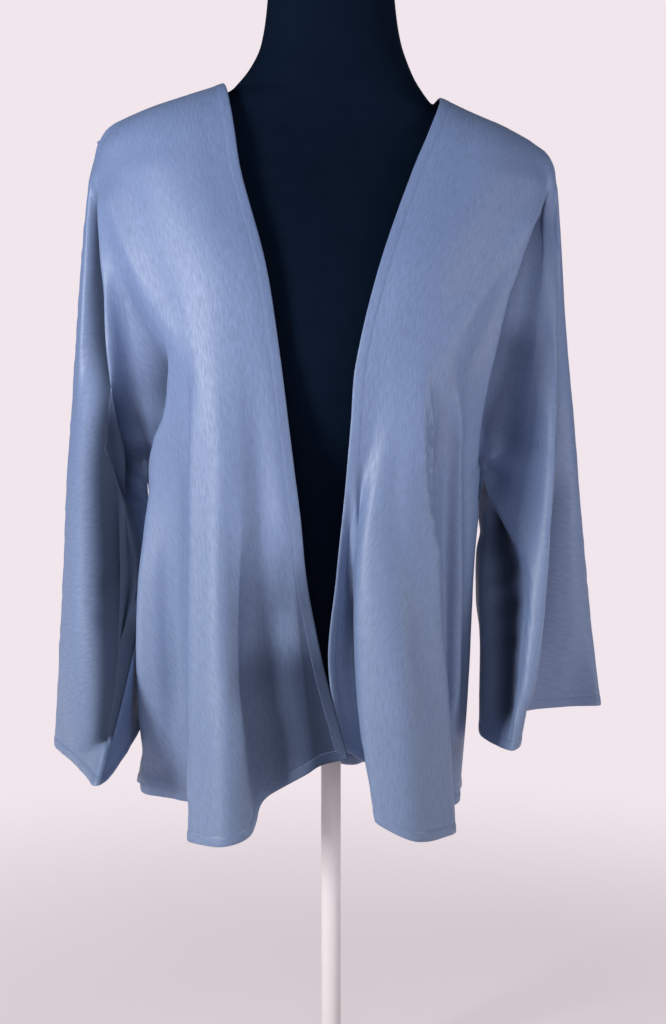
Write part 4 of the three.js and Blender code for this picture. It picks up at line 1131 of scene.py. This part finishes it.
def thread_material():
    shader = Shader("sewing_thread")
    twist = shader.noise(shader.stretched(shader.place(), (2400.0, 2400.0, 900.0)), 1.0, 1.0)
    colour = shader.blend("RGBA", twist, (0.15, 0.20, 0.36, 1.0), (0.24, 0.30, 0.50, 1.0))
    return shader.finish(Base_Color=colour, Roughness=0.5)


def form_material():
    """The form's tight black jersey."""
    shader = Shader("black_jersey")
    at = shader.place()
    knit = shader.noise(shader.stretched(at, (1300.0, 1300.0, 1800.0)), 1.0, 2.0)
    lint = shader.noise(at, 60.0, 4.0)
    return shader.finish(
        Base_Color=shader.blend("RGBA", lint, (0.0022, 0.0058, 0.0150, 1.0), (0.0035, 0.0080, 0.0190, 1.0)),
        Roughness=shader.ranged(knit, 0.3, 0.7, 0.62, 0.78),
        Normal=shader.add("ShaderNodeBump", Strength=0.35, Distance=0.0003, Height=knit),
        Specular_IOR_Level=0.03,
        Specular_Tint=(0.5, 0.7, 1.0, 1.0),
    )


def stand_material():
    """Pale enamel with a faint orange-peel and a little wear."""
    shader = Shader("pale_enamel")
    at = shader.place()
    peel = shader.noise(at, 420.0, 2.0)
    worn = shader.noise(at, 35.0, 5.0)
    return shader.finish(
        Base_Color=shader.blend("RGBA", worn, (0.76, 0.71, 0.73, 1.0), (0.70, 0.645, 0.67, 1.0)),
        Roughness=shader.ranged(worn, 0.3, 0.7, 0.34, 0.5),
        Normal=shader.add("ShaderNodeBump", Strength=0.15, Distance=0.0003, Height=peel),
    )


def stage_material(name, reach=None):
    """A pale floor that turns into the plain backdrop over its reach, or the backdrop itself."""
    shader = Shader(name)
    shader.finish(Base_Color=(*FLOOR, 1.0), Roughness=0.9, Specular_IOR_Level=0.1)
    part = 1.0
    if reach:
        far = shader.add("ShaderNodeVectorMath", {"operation": "LENGTH"}, i0=shader.place()).outputs["Value"]
        part = shader.ranged(far, *reach, 0.5, 1.0, {"interpolation_type": "SMOOTHSTEP"})
    glow = shader.add("ShaderNodeEmission", Color=(*PALE, 1.0), Strength=1.0)
    both = shader.add("ShaderNodeMixShader", i0=part, i1=shader.surface, i2=glow)
    shader.put(shader.tree.nodes["Material Output"], "Surface", both)
    return shader.material


FLOOR = (0.80, 0.72, 0.765)
STAGE_SIDES = 96
STAGE_RIMS = [0.3, 0.6, 1.0, 1.6, 2.4, 6.0]  # rings of the floor, in metres
WALL = {"foot": -0.02, "height": 6.0}


def add_stage_piece(name, points, faces, material):
    mesh = bpy.data.meshes.new(name)
    mesh.from_pydata(points, [], faces)
    mesh.materials.append(material)
    piece = bpy.data.objects.new(name, mesh)
    bpy.context.scene.collection.objects.link(piece)
    return piece


def add_stage():
    """A pale floor, and a plain backdrop all round that is seen but gives no light."""
    turns = [i / STAGE_SIDES * 2 * math.pi for i in range(STAGE_SIDES)]
    sides = [(i, (i + 1) % STAGE_SIDES) for i in range(STAGE_SIDES)]
    points = [(0.0, 0.0, 0.0)]
    faces = [(0, 1 + i, 1 + j) for i, j in sides]
    for radius in STAGE_RIMS:
        points += [(radius * math.cos(a), radius * math.sin(a), 0.0) for a in turns]
    for ring in range(len(STAGE_RIMS) - 1):
        near = 1 + ring * STAGE_SIDES
        far = near + STAGE_SIDES
        faces += [(near + i, far + i, far + j, near + j) for i, j in sides]
    add_stage_piece("floor", points, faces, stage_material("floor", (0.2, 1.3)))
    radius, height = STAGE_RIMS[-1], WALL["height"]
    points = [(radius * math.cos(a), radius * math.sin(a), z) for z in (WALL["foot"], height) for a in turns]
    points.append((0.0, 0.0, height))
    faces = [(i, STAGE_SIDES + i, STAGE_SIDES + j, j) for i, j in sides]
    faces += [(STAGE_SIDES + i, 2 * STAGE_SIDES, STAGE_SIDES + j) for i, j in sides]
    backdrop = add_stage_piece("backdrop", points, faces, stage_material("backdrop"))
    for kind in ("diffuse", "glossy", "transmission", "shadow"):
        setattr(backdrop, "visible_" + kind, False)


# ---- Assembly ------------------------------------------------------------------------------------------
CUT = {  # along each panel's top edge and down its longest line, in metres, and its flat area
    "front_right": {"size": (0.67, 0.68), "area": 0.197},
    "front_left": {"size": (0.62, 0.68), "area": 0.205},
    "back": {"size": (1.57, 0.68), "area": 0.423},
}


def lay_cloth():
    """The jacket's patches with their folds and the depth of their hollows for painted shade, and the outward
    directions.
    """
    plain = cloth_patches()
    towards = outward(plain)
    lain = {}
    for panel, parts in PANELS.items():
        for name, first, way in parts:
            lift, depth = lie_of(plain, panel, name, first, way)
            lain[name] = clear_of_form(plain[name] + towards[name] * lift[..., None])
            lain[name + "_depth"] = depth
    return lain, outward({name: lain[name] for name in plain})


def panel_of(edge):
    """The panel that a free edge belongs to."""
    if "back" in edge:
        return "back"
    return "front_right" if "right" in edge else "front_left"


def finish_piece(piece, node=None):
    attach(piece, "root")
    if node:
        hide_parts(node)


def add_turned_edges(lain, directions, material):
    """The turned edges and the lines of their stitches, by panel."""
    turned = {panel: [] for panel in PANELS}
    seams = {panel: [] for panel in PANELS}
    for name, (points, normals, depths) in free_edges(lain, directions).items():
        title = name.replace("front_band", "front_edge")
        title = title.replace("hem", "turned_hem").replace("cuff", "turned_cuff")
        piece = add_turned_edge(title, points, normals, depths[:, 0], material)
        turned[panel_of(name)].append(piece)
        seams[panel_of(name)] += stitch_lines(points, normals)
        finish_piece(piece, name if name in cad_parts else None)
    return turned, seams


def add_jacket():
    crepe = crepe_material("satin_crepe", (0.158, 0.224, 0.408), (0.134, 0.194, 0.366), 0.6)
    hem_crepe = crepe_material("satin_crepe_turned", (0.152, 0.216, 0.400), (0.130, 0.190, 0.360), 0.45)
    thread = thread_material()
    lain, directions = lay_cloth()
    turned, seams = add_turned_edges(lain, directions, hem_crepe)
    for panel, cut in CUT.items():
        piece = add_panel(lain, directions, panel, crepe)
        finish_piece(piece, panel)
        stitches = add_stitches("stitches_" + panel, seams[panel], thread)
        finish_piece(stitches)


def add_form_and_stand():
    black = form_material()
    enamel = stand_material()
    finish_piece(add_form(black), "form_torso")
    for name in ("stand_post", "stand_base"):
        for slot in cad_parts[name].material_slots:
            slot.material = enamel


add_camera()
add_lights()
add_stage()
add_jacket()
add_form_and_stand()
